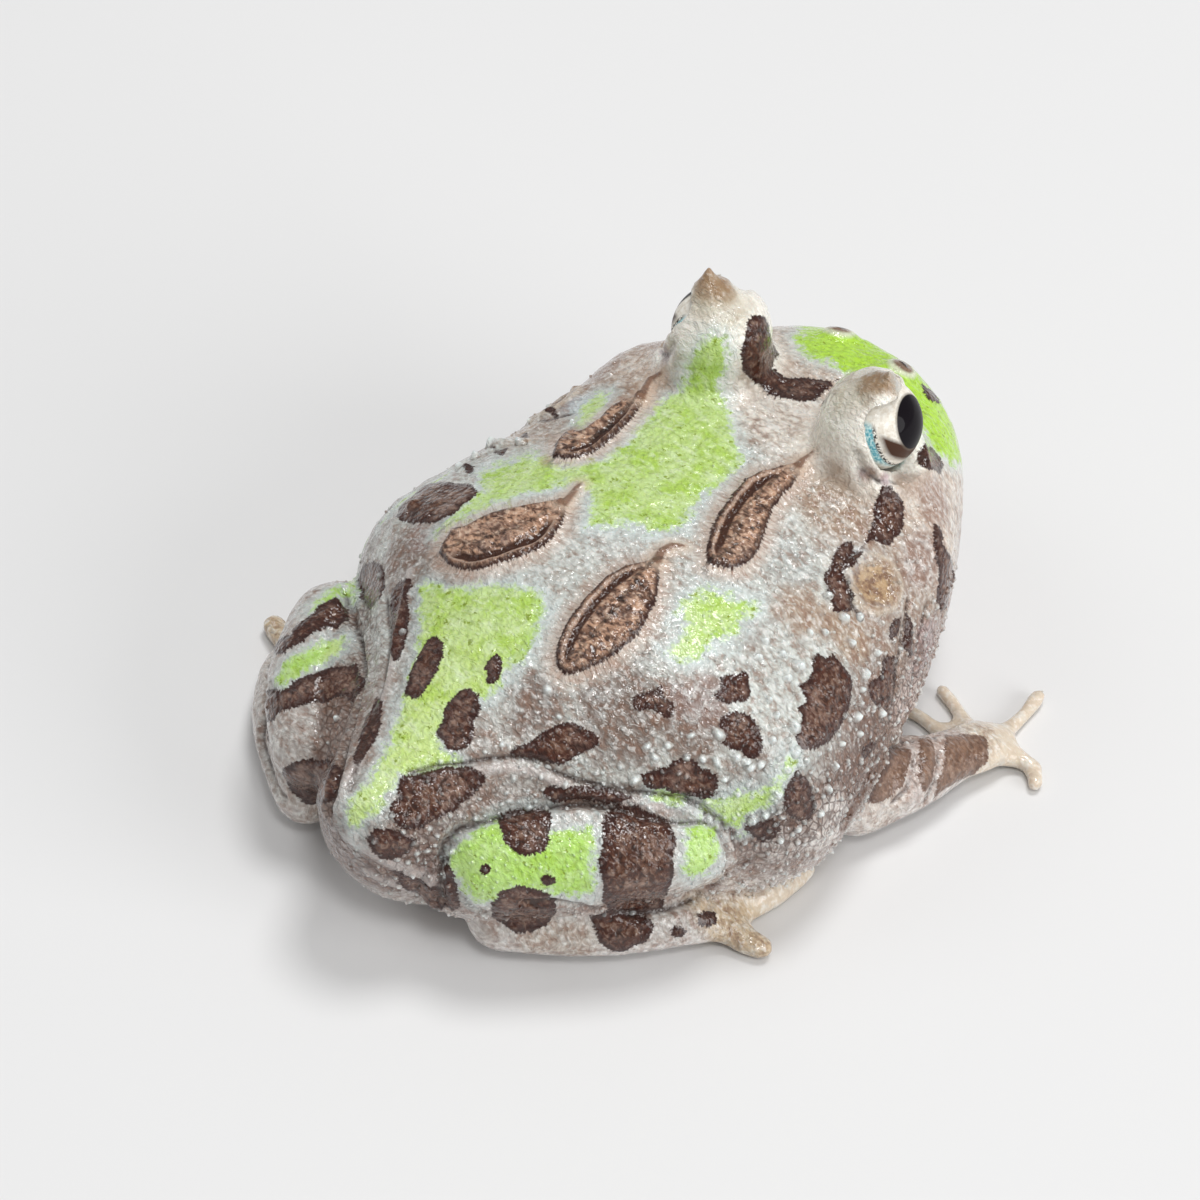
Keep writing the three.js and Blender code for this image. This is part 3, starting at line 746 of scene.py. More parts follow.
def mouth_level(y):
    """The mouth line's height: it falls by a power of the way from the snout to the corners."""
    way = np.clip((y - MOUTH["front_y"]) / (MOUTH["back_y"] - MOUTH["front_y"]), 0, 1)
    return MOUTH["front_level"] - MOUTH["fall"] * way ** 1.4


def groove(distance, depth, width):
    """A valley with soft banks: minus a bell curve of the distance, plus a wider and lower one."""
    share = distance / width
    return -depth * np.exp(-share ** 2) + 0.35 * depth * np.exp(-((share - 2.2) / 1.1) ** 2)


LEAF_HEIGHT = 0.5
LEAF_GROOVE = 1.1  # how far in from the leaf's inner edge its groove runs
BLOTCH_HEIGHT = 0.08
relief = LEAF_HEIGHT * smoothstep(-0.2, 0.45, leaf_depth)
relief += BLOTCH_HEIGHT * smoothstep(-0.2, 0.4, blotch_depth)
relief += 0.3 * smoothstep(-0.5, 0.25, tail_depth)
relief -= 0.42 * np.exp(-((leaf_depth - LEAF_GROOVE) / 0.4) ** 2) * smoothstep(0.0, 0.6, leaf_side)
relief += 0.12 * np.exp(-((leaf_depth - 0.45) / 0.22) ** 2)
in_leaf = smoothstep(0.6, 1.4, leaf_depth)
relief += 0.16 * in_leaf * value_noise(points, 1.1, 15)

# Knobs on the left rim: pixel across and down, and radius in mm
KNOBS = [
    (500, 446, 0.9), (520, 428, 0.55), (467, 468, 0.6), (553, 406, 0.5), (414, 505, 0.6), (396, 522, 0.5)]
for u, v, radius in KNOBS:
    relief += 0.75 * radius * np.exp(-(ball_distance(points, on_skin(u, v)[0]) / radius) ** 2)

# Creases where skin folds under: the route as pixels, the depth and the half width in mm.
CREASES = {
    "shank_over": ([
        (441, 862), (444, 845), (459, 829), (480, 822), (502, 816), (522, 811), (543, 807), (579, 803),
        (606, 805),
        (642, 817), (676, 822), (706, 822), (720, 832), (728, 848), (727, 863)], 0.45, 0.4),
    "shank_under": ([
        (727, 863), (714, 883), (693, 899), (672, 908), (655, 912), (630, 915), (604, 911), (579, 905),
        (553, 901),
        (525, 902)], 0.45, 0.35),
    "shank_heel": ([(441, 862), (439, 880), (442, 899), (452, 917), (466, 932)], 0.4, 0.4),
    "groin": ([
        (408, 772), (432, 766), (461, 763), (490, 758), (512, 757), (543, 762), (556, 773), (579, 781),
        (612, 789),
        (655, 794), (683, 798)], 0.3, 0.35),
    "knee_skin": ([(683, 798), (703, 808), (719, 818), (733, 834), (736, 852)], 0.35, 0.35),
    "left_leg": ([
        (345, 590), (355, 625), (363, 655), (364, 680), (357, 710), (347, 742), (340, 770), (336, 795),
        (329, 812)],
        0.5, 0.4),
    "left_shank": ([(268, 664), (274, 690), (265, 718), (262, 742), (270, 768), (284, 798)], 0.35, 0.4),
    "left_groin": ([(385, 600), (390, 640), (385, 680), (375, 720), (362, 755), (350, 790)], 0.3, 0.4),
    "armpit": ([(908, 736), (888, 753), (872, 775), (856, 800), (842, 824)], 0.4, 0.4),
    "arm_ring": ([(912, 740), (914, 762), (907, 788), (893, 803)], 0.22, 0.3),
    "arm_ring_outer": ([(934, 737), (938, 760), (933, 786), (924, 802)], 0.22, 0.3),
    "jaw_fold": ([(909, 598), (902, 640), (895, 680), (890, 722)], 0.22, 0.4),
    "jaw_fold_low": ([(927, 605), (917, 650), (909, 700), (903, 736)], 0.22, 0.4),
    "neck": ([(846, 578), (851, 602), (860, 618)], 0.15, 0.35),
    "eye_fold": ([(856, 452), (862, 470), (878, 482), (896, 482)], 0.25, 0.4),
}
# Raised folds beside them
RIDGES = {
    "flank_line": ([(411, 572), (400, 630), (386, 690), (372, 727), (359, 762), (346, 790),
        (337, 807)], 0.4, 0.5),
    "groin_fold": ([
        (470, 772), (505, 767), (540, 773), (575, 790), (612, 799), (655, 805), (690, 810),
        (710, 822)], 0.25, 0.5),
    "arm_ring_pale": ([(922, 740), (926, 762), (921, 788), (909, 802)], 0.22, 0.4),
    "hind_fold": ([(352, 838), (372, 852), (398, 866), (430, 880)], 0.3, 0.7),
    "thigh_fold": ([(368, 872), (400, 884), (432, 902), (462, 925)], 0.25, 0.6),
}


def route_gap(route):
    """The distance from each skin point to a route, in mm. A route that starts on the front half of the body
    is on the other side too."""
    lines = [photo_stroke([(u, v, 0.0) for u, v in route])]
    lines += [line.mirrored() for line in lines if line.places[0][1] < 0]
    return np.min([-line.measure(3.0, anywhere=True)[0] for line in lines], axis=0)


# Nearness to the creases, where the skin is also painted dark as shade.
crease_gap = np.full(len(points), -FAR)
for route, depth, width in CREASES.values():
    gap = route_gap(route)
    relief += groove(gap, depth, width)
    crease_gap = np.minimum(crease_gap, gap)
ridge_gap = np.full(len(points), -FAR)
for route, height, width in RIDGES.values():
    gap = route_gap(route)
    relief += height * np.exp(-(gap / width) ** 2)
    ridge_gap = np.minimum(ridge_gap, gap / width)
border = group_borders()
relief -= 0.2 * np.exp(-((1 - border) / 0.35) ** 2) * is_not_wrist

mouth_gap = points[:, 2] - mouth_level(points[:, 1])
on_mouth = is_node("head", "lower_jaw") & (points[:, 1] < MOUTH["back_y"] + 0.5)
mouth_fade = np.where(on_mouth, 1 - smoothstep(MOUTH["back_y"] - 4, MOUTH["back_y"], points[:, 1]), 0)
relief += mouth_fade * groove(np.abs(mouth_gap), 0.5, 0.4)
faded_gap = np.where(mouth_fade > 0, np.abs(mouth_gap) / np.maximum(mouth_fade, 0.05), -FAR)
crease_gap = np.minimum(crease_gap, faded_gap)

EAR_PIXEL = (874, 583)
EAR_RADIUS = 2.4
EAR_LOWERED = 3.5
right_ear = on_skin(*EAR_PIXEL)[0]
ears = [right_ear, mirrored(right_ear - np.array([0.0, 0.0, EAR_LOWERED]))[0]]
ear_gap = np.min([ball_distance(points, ear) for ear in ears], axis=0)
relief += 0.34 * np.exp(-((ear_gap - EAR_RADIUS) / 0.45) ** 2) - 0.2 * smoothstep(1.9, 1.0, ear_gap)
nostril_gap = np.min([ball_distance(points, nostril) for nostril in both_sides(NOSTRIL)], axis=0)
relief += 0.12 * np.exp(-((nostril_gap - 1.2) / 0.4) ** 2)

on_mound = smoothstep(7.4, 6.0, eye_gap)
across_mound = points * np.array([0.6, 1.0, 1.0])
off_lid = smoothstep(EYE_RADIUS + 0.4, EYE_RADIUS + 1.4, eye_gap)
relief += 0.16 * on_mound * value_noise(across_mound, 0.9, 16) * off_lid

on_trunk = is_node("torso", "head", "thigh", "lower_jaw", "arm").astype(float)
lengthwise = points * np.array([1.0, 0.45, 1.0])
relief += 0.07 * on_trunk * value_noise(points, 1.3, 7)
relief += 0.06 * value_noise(lengthwise, 0.62, 8)

points = points + relief[:, None] * normals
HORN_POINT = 0.8
LID_RADIUS = EYE_RADIUS + 0.08  # keeps the lids off the eyeballs
for horn in ("horn_left", "horn_right"):
    tip = points[np.where(is_node(horn), points[:, 2], FAR).argmax()]
    points[:, 2] += HORN_POINT * np.exp(-(ball_distance(points, tip) / 1.0) ** 1.6)
for centre in both_sides(EYE_CENTRE):
    away = points - centre
    gap = np.linalg.norm(away, axis=1, keepdims=True)
    points = np.where(gap < LID_RADIUS, centre + away / gap * LID_RADIUS, points)
FLOOR_GAP = 0.02
points[:, 2] = np.maximum(points[:, 2], FLOOR_GAP)
normals = vertex_normals(points, faces)


# Colours

def linear(code):
    """An sRGB hex colour as linear light."""
    channels = np.array([int(code[i:i + 2], 16) for i in (1, 3, 5)]) / 255
    return np.where(channels <= 0.04045, channels / 12.92, ((channels + 0.055) / 1.055) ** 2.4)


GROUND = {
    "back": "#C9CDC7", "shoulder": "#A89382", "head": "#D6C7B8", "mound": "#FFFBF0", "flank": "#74594C",
    "rear": "#857065", "limb": "#BEB7B0", "belly": "#E6DFDA", "jaw": "#B39C93", "arm": "#C6B5AC",
    "digit": "#DCCDB8", "foot": "#D2BD9E",
}
# Softer tones of the ground, the last two painted light: pixel across and down, radius in mm and colour.
TONES = {
    "temple": (828, 500, 3.8, "#A68F79"),
    "tan_by_shoulder": (805, 612, 3.2, "#AE9680"),
    "tan_behind_ear": (850, 636, 2.4, "#B09880"),
    "lilac_fold": (866, 473, 1.2, "#8A706E"),
    "pink_fold": (886, 479, 0.8, "#C6AEB4"),
    "grey_flank": (620, 715, 5.2, "#6B584D"),
    "grey_rear": (535, 705, 3.2, "#6E5B51"),
    "brown_flank": (690, 735, 3.4, "#7A665A"),
    "pink_jaw": (925, 650, 3.2, "#B49A98"),
    "pink_lip": (935, 500, 3.0, "#B0978A"),
    "blue_shoulder": (585, 405, 2.4, "#C3CDD2"),
    "white_back": (640, 548, 3.2, "#D0D4CF"),
    "white_side": (790, 560, 3.0, "#B4B9B5"),
    "white_by_patch": (745, 632, 2.2, "#A6A39C"),
    "between_eyes": (790, 425, 4.6, "#F0E8DC"),
    "brow_corner": (872, 382, 1.9, "#94744F"),
    "far_brow": (722, 305, 3.4, "#D0C9B5"),
    "far_horn": (716, 281, 2.3, "#94744F"),
    "hind_lilac": (395, 870, 5.0, "#7C6963"),
    "hind_pale": (362, 838, 1.4, "#C9C4BF"),
    "heel": (560, 945, 4.0, "#BFB3A6"),
    "cheek": (908, 482, 1.9, "#B39E8E"),
    "jaw_side": (922, 560, 2.8, "#A89389"),
    "warm_side": (702, 700, 2.8, "#93807A"),
    "upper_arm": (880, 815, 3.0, "#D6CBC1"),
    "low_jaw": (905, 705, 3.4, "#E2CFC8"),
    # These two lighten the low flank: painted light where the underside lies in shade.
    "low_flank": (828, 828, 3.6, "#F2ECE6"),
    "low_flank_rear": (775, 850, 2.4, "#D8D0CA"),
}
GREEN_TONES = {"middle": "#BAD67A", "rear": "#C8E084", "front": "#AEDA40", "limb": "#B2DC6C"}


def ground_colour():
    """The skin's broad colour, mixed from one region to the next over a few millimetres."""
    x, y, z = points.T
    patchy = value_noise(points, 4.0, 11)
    fine = value_noise(points, 1.5, 12)
    colour = np.tile(linear(GROUND["back"]), (len(points), 1))
    layers = {
        "flank": smoothstep(22.5, 16.0, z + 2.4 * patchy + 0.12 * (y + 5)),
        "rear": smoothstep(18, 26, y + 2 * patchy) * 0.8,
        "shoulder": (
            smoothstep(-4, -11, y + 3 * patchy) * smoothstep(13, 17, np.abs(x) * 1.3 + 0.2 * (30 - z)) * 0.9),
        "head": smoothstep(-13, -18, y + 2 * patchy) * smoothstep(15, 19, z),
        "jaw": smoothstep(-8, -14, y) * smoothstep(18, 13, z + patchy),
        "mound": smoothstep(7.2, 5.8, eye_gap),
        "limb": smoother.ease(is_node("shank", "foot").astype(float), 6),
        "arm": smoother.ease(is_node("arm").astype(float), 10),
        "belly": smoothstep(0.45, -0.3, normals[:, 2] + 0.1 * fine) * smoothstep(11, 5, z + patchy),
        "foot": smoother.ease((is_node("foot") & (y < 15)).astype(float), 8),
        "digit": smoother.ease(
            (is_node("hand") | is_node("foot") & (z < 3.2) & (y < 9.5)).astype(float), 8),
    }
    for name, way in layers.items():
        colour = mix(colour, linear(GROUND[name]), np.clip(way, 0, 1)[:, None])
    for u, v, radius, code in TONES.values():
        place, _ = on_skin(u, v)
        for centre in (place, mirrored(place)[0]):
            gap = ball_distance(points, centre) + 0.25 * radius * fine
            share = 0.85 * smoothstep(1.15 * radius, 0.5 * radius, gap)
            colour = mix(colour, linear(code), share[:, None])
    return colour


def green_colour():
    """The green's own tone: pale on the back, yellower towards the rear, vivid on the snout and between the
    eyes."""
    y = points[:, 1] + 1.5 * value_noise(points, 3.0, 14)
    colour = np.tile(linear(GREEN_TONES["middle"]), (len(points), 1))
    colour = mix(colour, linear(GREEN_TONES["rear"]), smoothstep(12, 23, y)[:, None])
    colour = mix(colour, linear(GREEN_TONES["front"]), smoothstep(-15, -21, y)[:, None])
    return mix(colour, linear(GREEN_TONES["limb"]), is_node("shank", "foot")[:, None])


def skin_fields():
    """Everything that the skin's material reads at a point, by name."""
    flesh = smoother.ease(is_node("torso", "thigh", "head", "lower_jaw").astype(float), 6)
    on_digit = is_node("hand", "foot") & (points[:, 2] < 3.2) & (points[:, 1] < 11)
    flank = smoothstep(21, 14, points[:, 2] + 1.5 * value_noise(points, 4.0, 13)) * flesh
    vivid = np.maximum(0.85 * smoothstep(-15, -20, points[:, 1]), 0.3 * is_node("shank", "foot"))
    lid_edge = np.full(len(points), -FAR)
    for side in LEFT_AND_RIGHT.values():
        away = points - EYE_CENTRE * side
        gap = np.linalg.norm(away, axis=1)
        behind = np.maximum(0, -0.1 - away @ (GAZE * side) / gap)
        lid_edge = np.minimum(lid_edge, gap - EYE_RADIUS + 3 * behind)
    return {
        "brown": brown_depth, "around": brown_around, "leaf": leaf_depth, "leafside": leaf_side,
        "tail": tail_depth, "green": green_depth, "ridge": ridge_gap, "lid": eye_gap - EYE_RADIUS,
        "lidedge": lid_edge, "ear": ear_gap, "nostril": nostril_gap, "vivid": vivid,
        # crease: nearness to the creases, the mouth line and the joins of the limbs, painted dark there as shade.
        "crease": np.minimum(crease_gap, 4 * (1 - border) + 2 * (1 - is_not_wrist)),
        "flank": flank * smoothstep(5.5, 8, eye_gap), "digit": smoother.ease(on_digit.astype(float), 8),
        "net": flank * smoothstep(5, 13, points[:, 2]) * smoothstep(-22, -12, points[:, 1]),
        "arm": smoother.ease(is_node("arm", "hand").astype(float), 8),
    }


SKIN_POINTS, SKIN_NORMALS = points, normals
tints = {"tint": ground_colour(), "lime": green_colour()}
fields = skin_fields()
skin = new_piece("skin", points, faces.tolist())
for name, colours in tints.items():
    set_tint(skin, name, colours)
for name, values in fields.items():
    set_field(skin, name, values)


# Materials

BLEND = {"kind": "ShaderNodeMix", "data_type": "RGBA", "out": 2}  # inputs: 0 share, 6 below, 7 above
TIMES = {"kind": "ShaderNodeMath", "operation": "MULTIPLY"}
PLUS = {"kind": "ShaderNodeMath", "operation": "ADD"}
LESS = {"kind": "ShaderNodeMath", "operation": "SUBTRACT"}
TIMES_PLUS = {"kind": "ShaderNodeMath", "operation": "MULTIPLY_ADD"}
SIZE = {"kind": "ShaderNodeMath", "operation": "ABSOLUTE"}
RAMP = {"kind": "ShaderNodeMapRange"}  # inputs: 0 value, 1 and 2 from, 3 and 4 to
NOISE = {"kind": "ShaderNodeTexNoise"}
CELLS = {"kind": "ShaderNodeTexVoronoi"}
FIELD = {"kind": "ShaderNodeAttribute", "out": "Fac"}


def add_node(tree, kind, inputs=None, out=0, **settings):
    """Adds a shader node with its settings and gives one output. Its inputs are numbers, hex colours or sockets
    to link."""
    made = tree.nodes.new(kind)
    for name, value in settings.items():
        setattr(made, name, value)
    for name, value in (inputs or {}).items():
        if isinstance(value, bpy.types.NodeSocket):
            tree.links.new(value, made.inputs[name])
        else:
            made.inputs[name].default_value = (*linear(value), 1.0) if isinstance(value, str) else value
    return made.outputs[out]


def lay_over(tree, colour, layers):
    """Lays tones over a colour, each on the last. A layer is a value, where its range starts and ends, the tone's
    share at either end, the tone, and any masks that the share is multiplied by."""
    for value, start, end, first, last, tone, *masks in layers:
        share = add_node(tree, inputs={0: value, 1: start, 2: end, 3: first, 4: last}, **RAMP)
        for mask in masks:
            share = add_node(tree, inputs={0: share, 1: mask}, **TIMES)
        colour = add_node(tree, inputs={0: share, 6: colour, 7: tone}, **BLEND)
    return colour


def new_material(name):
    material = bpy.data.materials.new(name)
    material.use_nodes = True
    material.node_tree.nodes.clear()
    return material, material.node_tree


def finish_surface(tree, inputs):
    """Closes a material with a Principled shader of these inputs."""
    surface_out = add_node(tree, "ShaderNodeBsdfPrincipled", inputs, out="BSDF")
    output = tree.nodes.new("ShaderNodeOutputMaterial")
    tree.links.new(surface_out, output.inputs["Surface"])


def per_mm(size):
    """A texture's scale for features of the given size in mm, on Object coordinates in metres."""
    return 1.0 / (size * MM)


GRANULE = 0.46
FLANK_GRANULE = 0.95


def frog_skin():
    """Living frog skin: moist, finely granular, pigment cells in patches edged with darker ones.
    It gives many small wet glints over a matt and slightly translucent ground."""
    material, tree = new_material("moist granular frog skin")
    place = add_node(tree, "ShaderNodeTexCoord", out="Object")
    tint = add_node(tree, "ShaderNodeAttribute", out="Color", attribute_name="tint")
    pure_lime = add_node(tree, "ShaderNodeAttribute", out="Color", attribute_name="lime")
    (around, leaf, brown, green, tail, leaf_way, flank, digit, crease_shade_way, top, ridge, lid, ear, nostril, arm,
     lid_edge, vivid, net_field) = (add_node(tree, attribute_name=name, **FIELD) for name in (
        "around", "leaf", "brown", "green", "tail", "leafside", "flank", "digit", "crease", "top", "ridge",
        "lid", "ear", "nostril", "arm", "lidedge", "vivid", "net"))

    # Noises of a few sizes, all about 0.5
    fringe = add_node(tree, inputs={
        "Vector": place, "Scale": per_mm(0.26), "Detail": 2.0, "Roughness": 0.6}, **NOISE)
    stretched = add_node(tree, "ShaderNodeMapping", {"Vector": place, "Scale": (0.6, 1.0, 0.7)})
    wrinkle = add_node(tree, inputs={
        "Vector": stretched, "Scale": per_mm(0.42), "Detail": 2.5, "Roughness": 0.6, "Distortion": 0.8}, **NOISE)
    streak = add_node(tree, inputs={
        "Vector": stretched, "Scale": per_mm(0.8), "Detail": 3.0, "Roughness": 0.65, "Distortion": 0.4}, **NOISE)
    freckle = add_node(tree, inputs={
        "Vector": place, "Scale": per_mm(0.7), "Detail": 3.0, "Roughness": 0.65}, **NOISE)
    cloud = add_node(tree, inputs={
        "Vector": place, "Scale": per_mm(2.6), "Detail": 4.0, "Roughness": 0.65}, **NOISE)
    granule = add_node(tree, inputs={
        "Vector": place, "Scale": per_mm(GRANULE), "Smoothness": 0.8}, feature="SMOOTH_F1", **CELLS)
    bead = add_node(tree, inputs={
        "Vector": place, "Scale": per_mm(FLANK_GRANULE), "Smoothness": 0.4}, feature="SMOOTH_F1", **CELLS)
    net = add_node(tree, inputs={
        "Vector": stretched, "Scale": per_mm(0.6)}, feature="DISTANCE_TO_EDGE", **CELLS)

    # Hatching across the outline of a mark: noise stretched along the way out of it
    along = add_node(tree, inputs={0: around, 1: 4.2}, **TIMES)
    outwards = add_node(tree, inputs={0: brown, 1: 0.5}, **TIMES)
    hatch_place = add_node(tree, "ShaderNodeCombineXYZ", {"X": along, "Y": outwards})
    hatch = add_node(tree, inputs={
        "Vector": hatch_place, "Scale": 1.0, "Detail": 2.0, "Roughness": 0.6}, **NOISE)

    # Ground: brown clouds and streaks over the broad tone, pale between, with dark wrinkles and granules
    relief_sum = add_node(tree, inputs={0: granule, 1: -0.4, 2: wrinkle}, **TIMES_PLUS)
    grain = add_node(tree, inputs={0: relief_sum, 1: 0.1, 2: 0.54}, **RAMP)
    calm = add_node(tree, inputs={0: digit, 1: 0.0, 2: 1.0, 3: 1.0, 4: 0.2}, **RAMP)
    arm_calm = add_node(tree, inputs={0: arm, 1: 0.0, 2: 1.0, 3: 1.0, 4: 0.4}, **RAMP)
    cloud_share, clear_share, grain_share, pale_share = (
        add_node(tree, inputs={0: flank, 1: 0.0, 2: 1.0, 3: on_back, 4: on_flank}, **RAMP)
        for on_back, on_flank in ((0.2, 0.6), (0.42, 0.1), (0.42, 0.6), (0.45, 0.22)))
    beads = add_node(tree, inputs={0: bead, 1: 0.4, 2: 0.12}, **RAMP)
    beads = add_node(tree, inputs={0: beads, 1: net_field}, **TIMES)
    net_line = add_node(tree, inputs={0: net, 1: 0.15, 2: 0.03}, **RAMP)
    net_way = add_node(tree, inputs={0: net_field, 1: 0.0, 2: 1.0, 3: 0.05, 4: 0.75}, **RAMP)
    net_share = add_node(tree, inputs={0: net_line, 1: net_way}, **TIMES)
    colour = lay_over(tree, tint, [
        (cloud, 0.46, 0.66, 0.0, 1.0, "#755A4B", cloud_share, calm),
        (streak, 0.5, 0.64, 0.0, 0.58, "#8E6C59", calm),
        (streak, 0.5, 0.34, 0.0, clear_share, "#E6E8E5"),
        (grain, 0.0, 0.6, grain_share, 0.0, "#67483A", calm),
        (grain, 0.6, 0.95, 0.0, pale_share, "#F7F4F0"),
        (beads, 0.0, 1.0, 0.0, 0.18, "#DCDEDA"),
        (net_share, 0.0, 1.0, 0.0, 1.0, "#4A332A"),
        (ridge, 1.3, 0.5, 0.0, 0.55, "#CCC4C0"),
    ])

    # Brow mounds with brown mottling, and the eardrum golden brown in a pale ring
    mound = add_node(tree, inputs={0: lid, 1: 3.6, 2: 2.2}, **RAMP)
    drum_colour = lay_over(tree, "#C0A27C", [(freckle, 0.4, 0.6, 0.0, 1.0, "#7A583F")])
    drum_edge = add_node(tree, inputs={0: ear, 1: EAR_RADIUS + 0.25}, **LESS)
    drum_edge = add_node(tree, inputs={0: drum_edge}, **SIZE)
    colour = lay_over(tree, colour, [
        (mound, 0.0, 1.0, 0.0, 0.6, tint),
        (cloud, 0.52, 0.66, 0.0, 0.5, "#8E7459", mound),
        (ear, EAR_RADIUS + 0.3, EAR_RADIUS - 0.9, 0.0, 0.85, drum_colour),
        (drum_edge, 0.4, 0.1, 0.0, 0.4, "#DACBB6"),
    ])

    # Green with olive flecks and pale granules in a bluish halo, and the nostrils in a whitish ring with a
    # near-black middle, painted shade in the opening
    ragged = add_node(tree, inputs={0: freckle, 1: 2.6, 2: -1.3}, **TIMES_PLUS)
    ragged = add_node(tree, inputs={0: fringe, 1: 0.6, 2: ragged}, **TIMES_PLUS)
    ragged = add_node(tree, inputs={0: ragged, 1: 0.3}, **LESS)
    green_edge = add_node(tree, inputs={0: green, 1: ragged}, **PLUS)
    lime = lay_over(tree, pure_lime, [
        (green_edge, 1.1, 0.0, 0.0, 0.55, "#C2DFA8"),
        (cloud, 0.42, 0.62, 0.0, 0.6, "#CBE0A4"),
        (cloud, 0.49, 0.36, 0.0, 0.65, "#A5CB40"),
        (streak, 0.5, 0.32, 0.0, 0.6, "#DDEBC4"),
        (vivid, 0.0, 1.0, 0.0, 1.0, pure_lime),
        (grain, 0.5, 0.0, 0.0, 0.5, "#8CA838"),
        (freckle, 0.62, 0.67, 0.0, 0.85, "#7F9418"),
    ])
    colour = lay_over(tree, colour, [
        (green_edge, -1.5, 0.0, 0.0, 0.7, "#CDDAD8"),
        (green_edge, -0.25, 0.4, 0.0, 1.0, lime),
        (nostril, 1.7, 1.3, 0.0, 0.8, "#D9D8C8"),
        (nostril, 1.15, 0.85, 0.0, 0.9, "#724C3A"),
        # Painted shade inside the nostril's opening.
        (nostril, 0.6, 0.35, 0.0, 0.9, "#1E1411"),
    ])

    # Brown marks: nearly black at the rim, warmer inside, finely granular. The leaves have a pale line and a
    # groove towards the body's middle, the groove painted dark as shade.
    hatch_shift = add_node(tree, inputs={0: hatch, 1: 0.7, 2: -0.35}, **TIMES_PLUS)
    brown_edge = add_node(tree, inputs={0: fringe, 1: 0.4, 2: hatch_shift}, **TIMES_PLUS)
    brown_edge = add_node(tree, inputs={0: brown_edge, 1: 0.2}, **LESS)
    brown_edge = add_node(tree, inputs={0: brown, 1: brown_edge}, **PLUS)
    on_leaf = add_node(tree, inputs={0: leaf, 1: -0.1, 2: 0.3}, **RAMP)
    off_leaf = add_node(tree, inputs={0: 1.0, 1: on_leaf}, **LESS)
    leaf_pale = add_node(tree, inputs={0: on_leaf, 1: 0.0, 2: 1.0, 3: 0.22, 4: 0.85}, **RAMP)
    rim_dark = add_node(tree, inputs={0: arm, 1: 0.0, 2: 1.0, 3: 0.9, 4: 0.3}, **RAMP)
    towards_middle = add_node(tree, inputs={0: leaf_way, 1: 0.0, 2: 0.7}, **RAMP)
    pale_gap, groove_shade_gap = (
        add_node(tree, inputs={0: add_node(tree, inputs={0: leaf, 1: depth}, **LESS)}, **SIZE)
        for depth in (0.6, LEAF_GROOVE))
    inner = lay_over(tree, "#4A2214", [
        (on_leaf, 0.0, 1.0, 0.0, 1.0, "#C2997E"),
        (arm, 0.0, 1.0, 0.0, 1.0, "#876A58"),
        (brown, 0.5, 1.5, 0.0, 0.4, "#74543F", off_leaf),
        (streak, 0.44, 0.58, 0.0, 0.8, "#47251A", arm_calm),
        (cloud, 0.5, 0.38, 0.0, 0.4, "#9A8073"),
        (grain, 0.5, 0.05, 0.0, 0.85, "#2C1710", arm_calm),
        (grain, 0.55, 1.0, 0.0, leaf_pale, "#DCBFA8"),
        (brown_edge, 0.15, 0.65, rim_dark, 0.0, "#32160F"),
        (pale_gap, 0.17, 0.06, 0.0, 0.75, "#B49C8C", towards_middle),
        # Painted shade in the leaves' grooves.
        (groove_shade_gap, 0.42, 0.24, 0.0, 1.0, "#40200F", towards_middle),
    ])

    # A tan collar of fine rays goes under the leaves. Creases are painted dark at the bottom as shade, warts pale
    # at the top, and the lids' edges pale with a dark inner line.
    collar = add_node(tree, inputs={0: leaf, 1: -1.6, 2: -0.2}, **RAMP)
    mark = add_node(tree, inputs={0: brown_edge, 1: -0.06, 2: 0.06}, **RAMP)
    colour = lay_over(tree, colour, [
        (collar, 0.0, 1.0, 0.0, 0.6, "#D6BFAF"),
        (hatch, 0.5, 0.66, 0.0, 0.65, "#8C6652", collar),
        (mark, 0.0, 1.0, 0.0, 1.0, inner),
        (tail, -1.2, -0.2, 0.0, 0.65, "#D3BBA6"),
        (tail, -0.22, 0.0, 0.0, 0.85, "#77543F"),
        # Painted shade along the creases, the mouth line and the joins of the limbs.
        (crease_shade_way, 0.32, 0.06, 0.0, 0.88, "#38261F"),
        (mark, 0.0, 1.0, 1.0, 0.45, "#E4EAE8", top),
        (lid_edge, 0.7, 0.4, 0.0, 0.6, "#D9D2C6"),
        (lid_edge, 0.26, 0.12, 0.0, 0.85, "#3B3029"),
    ])

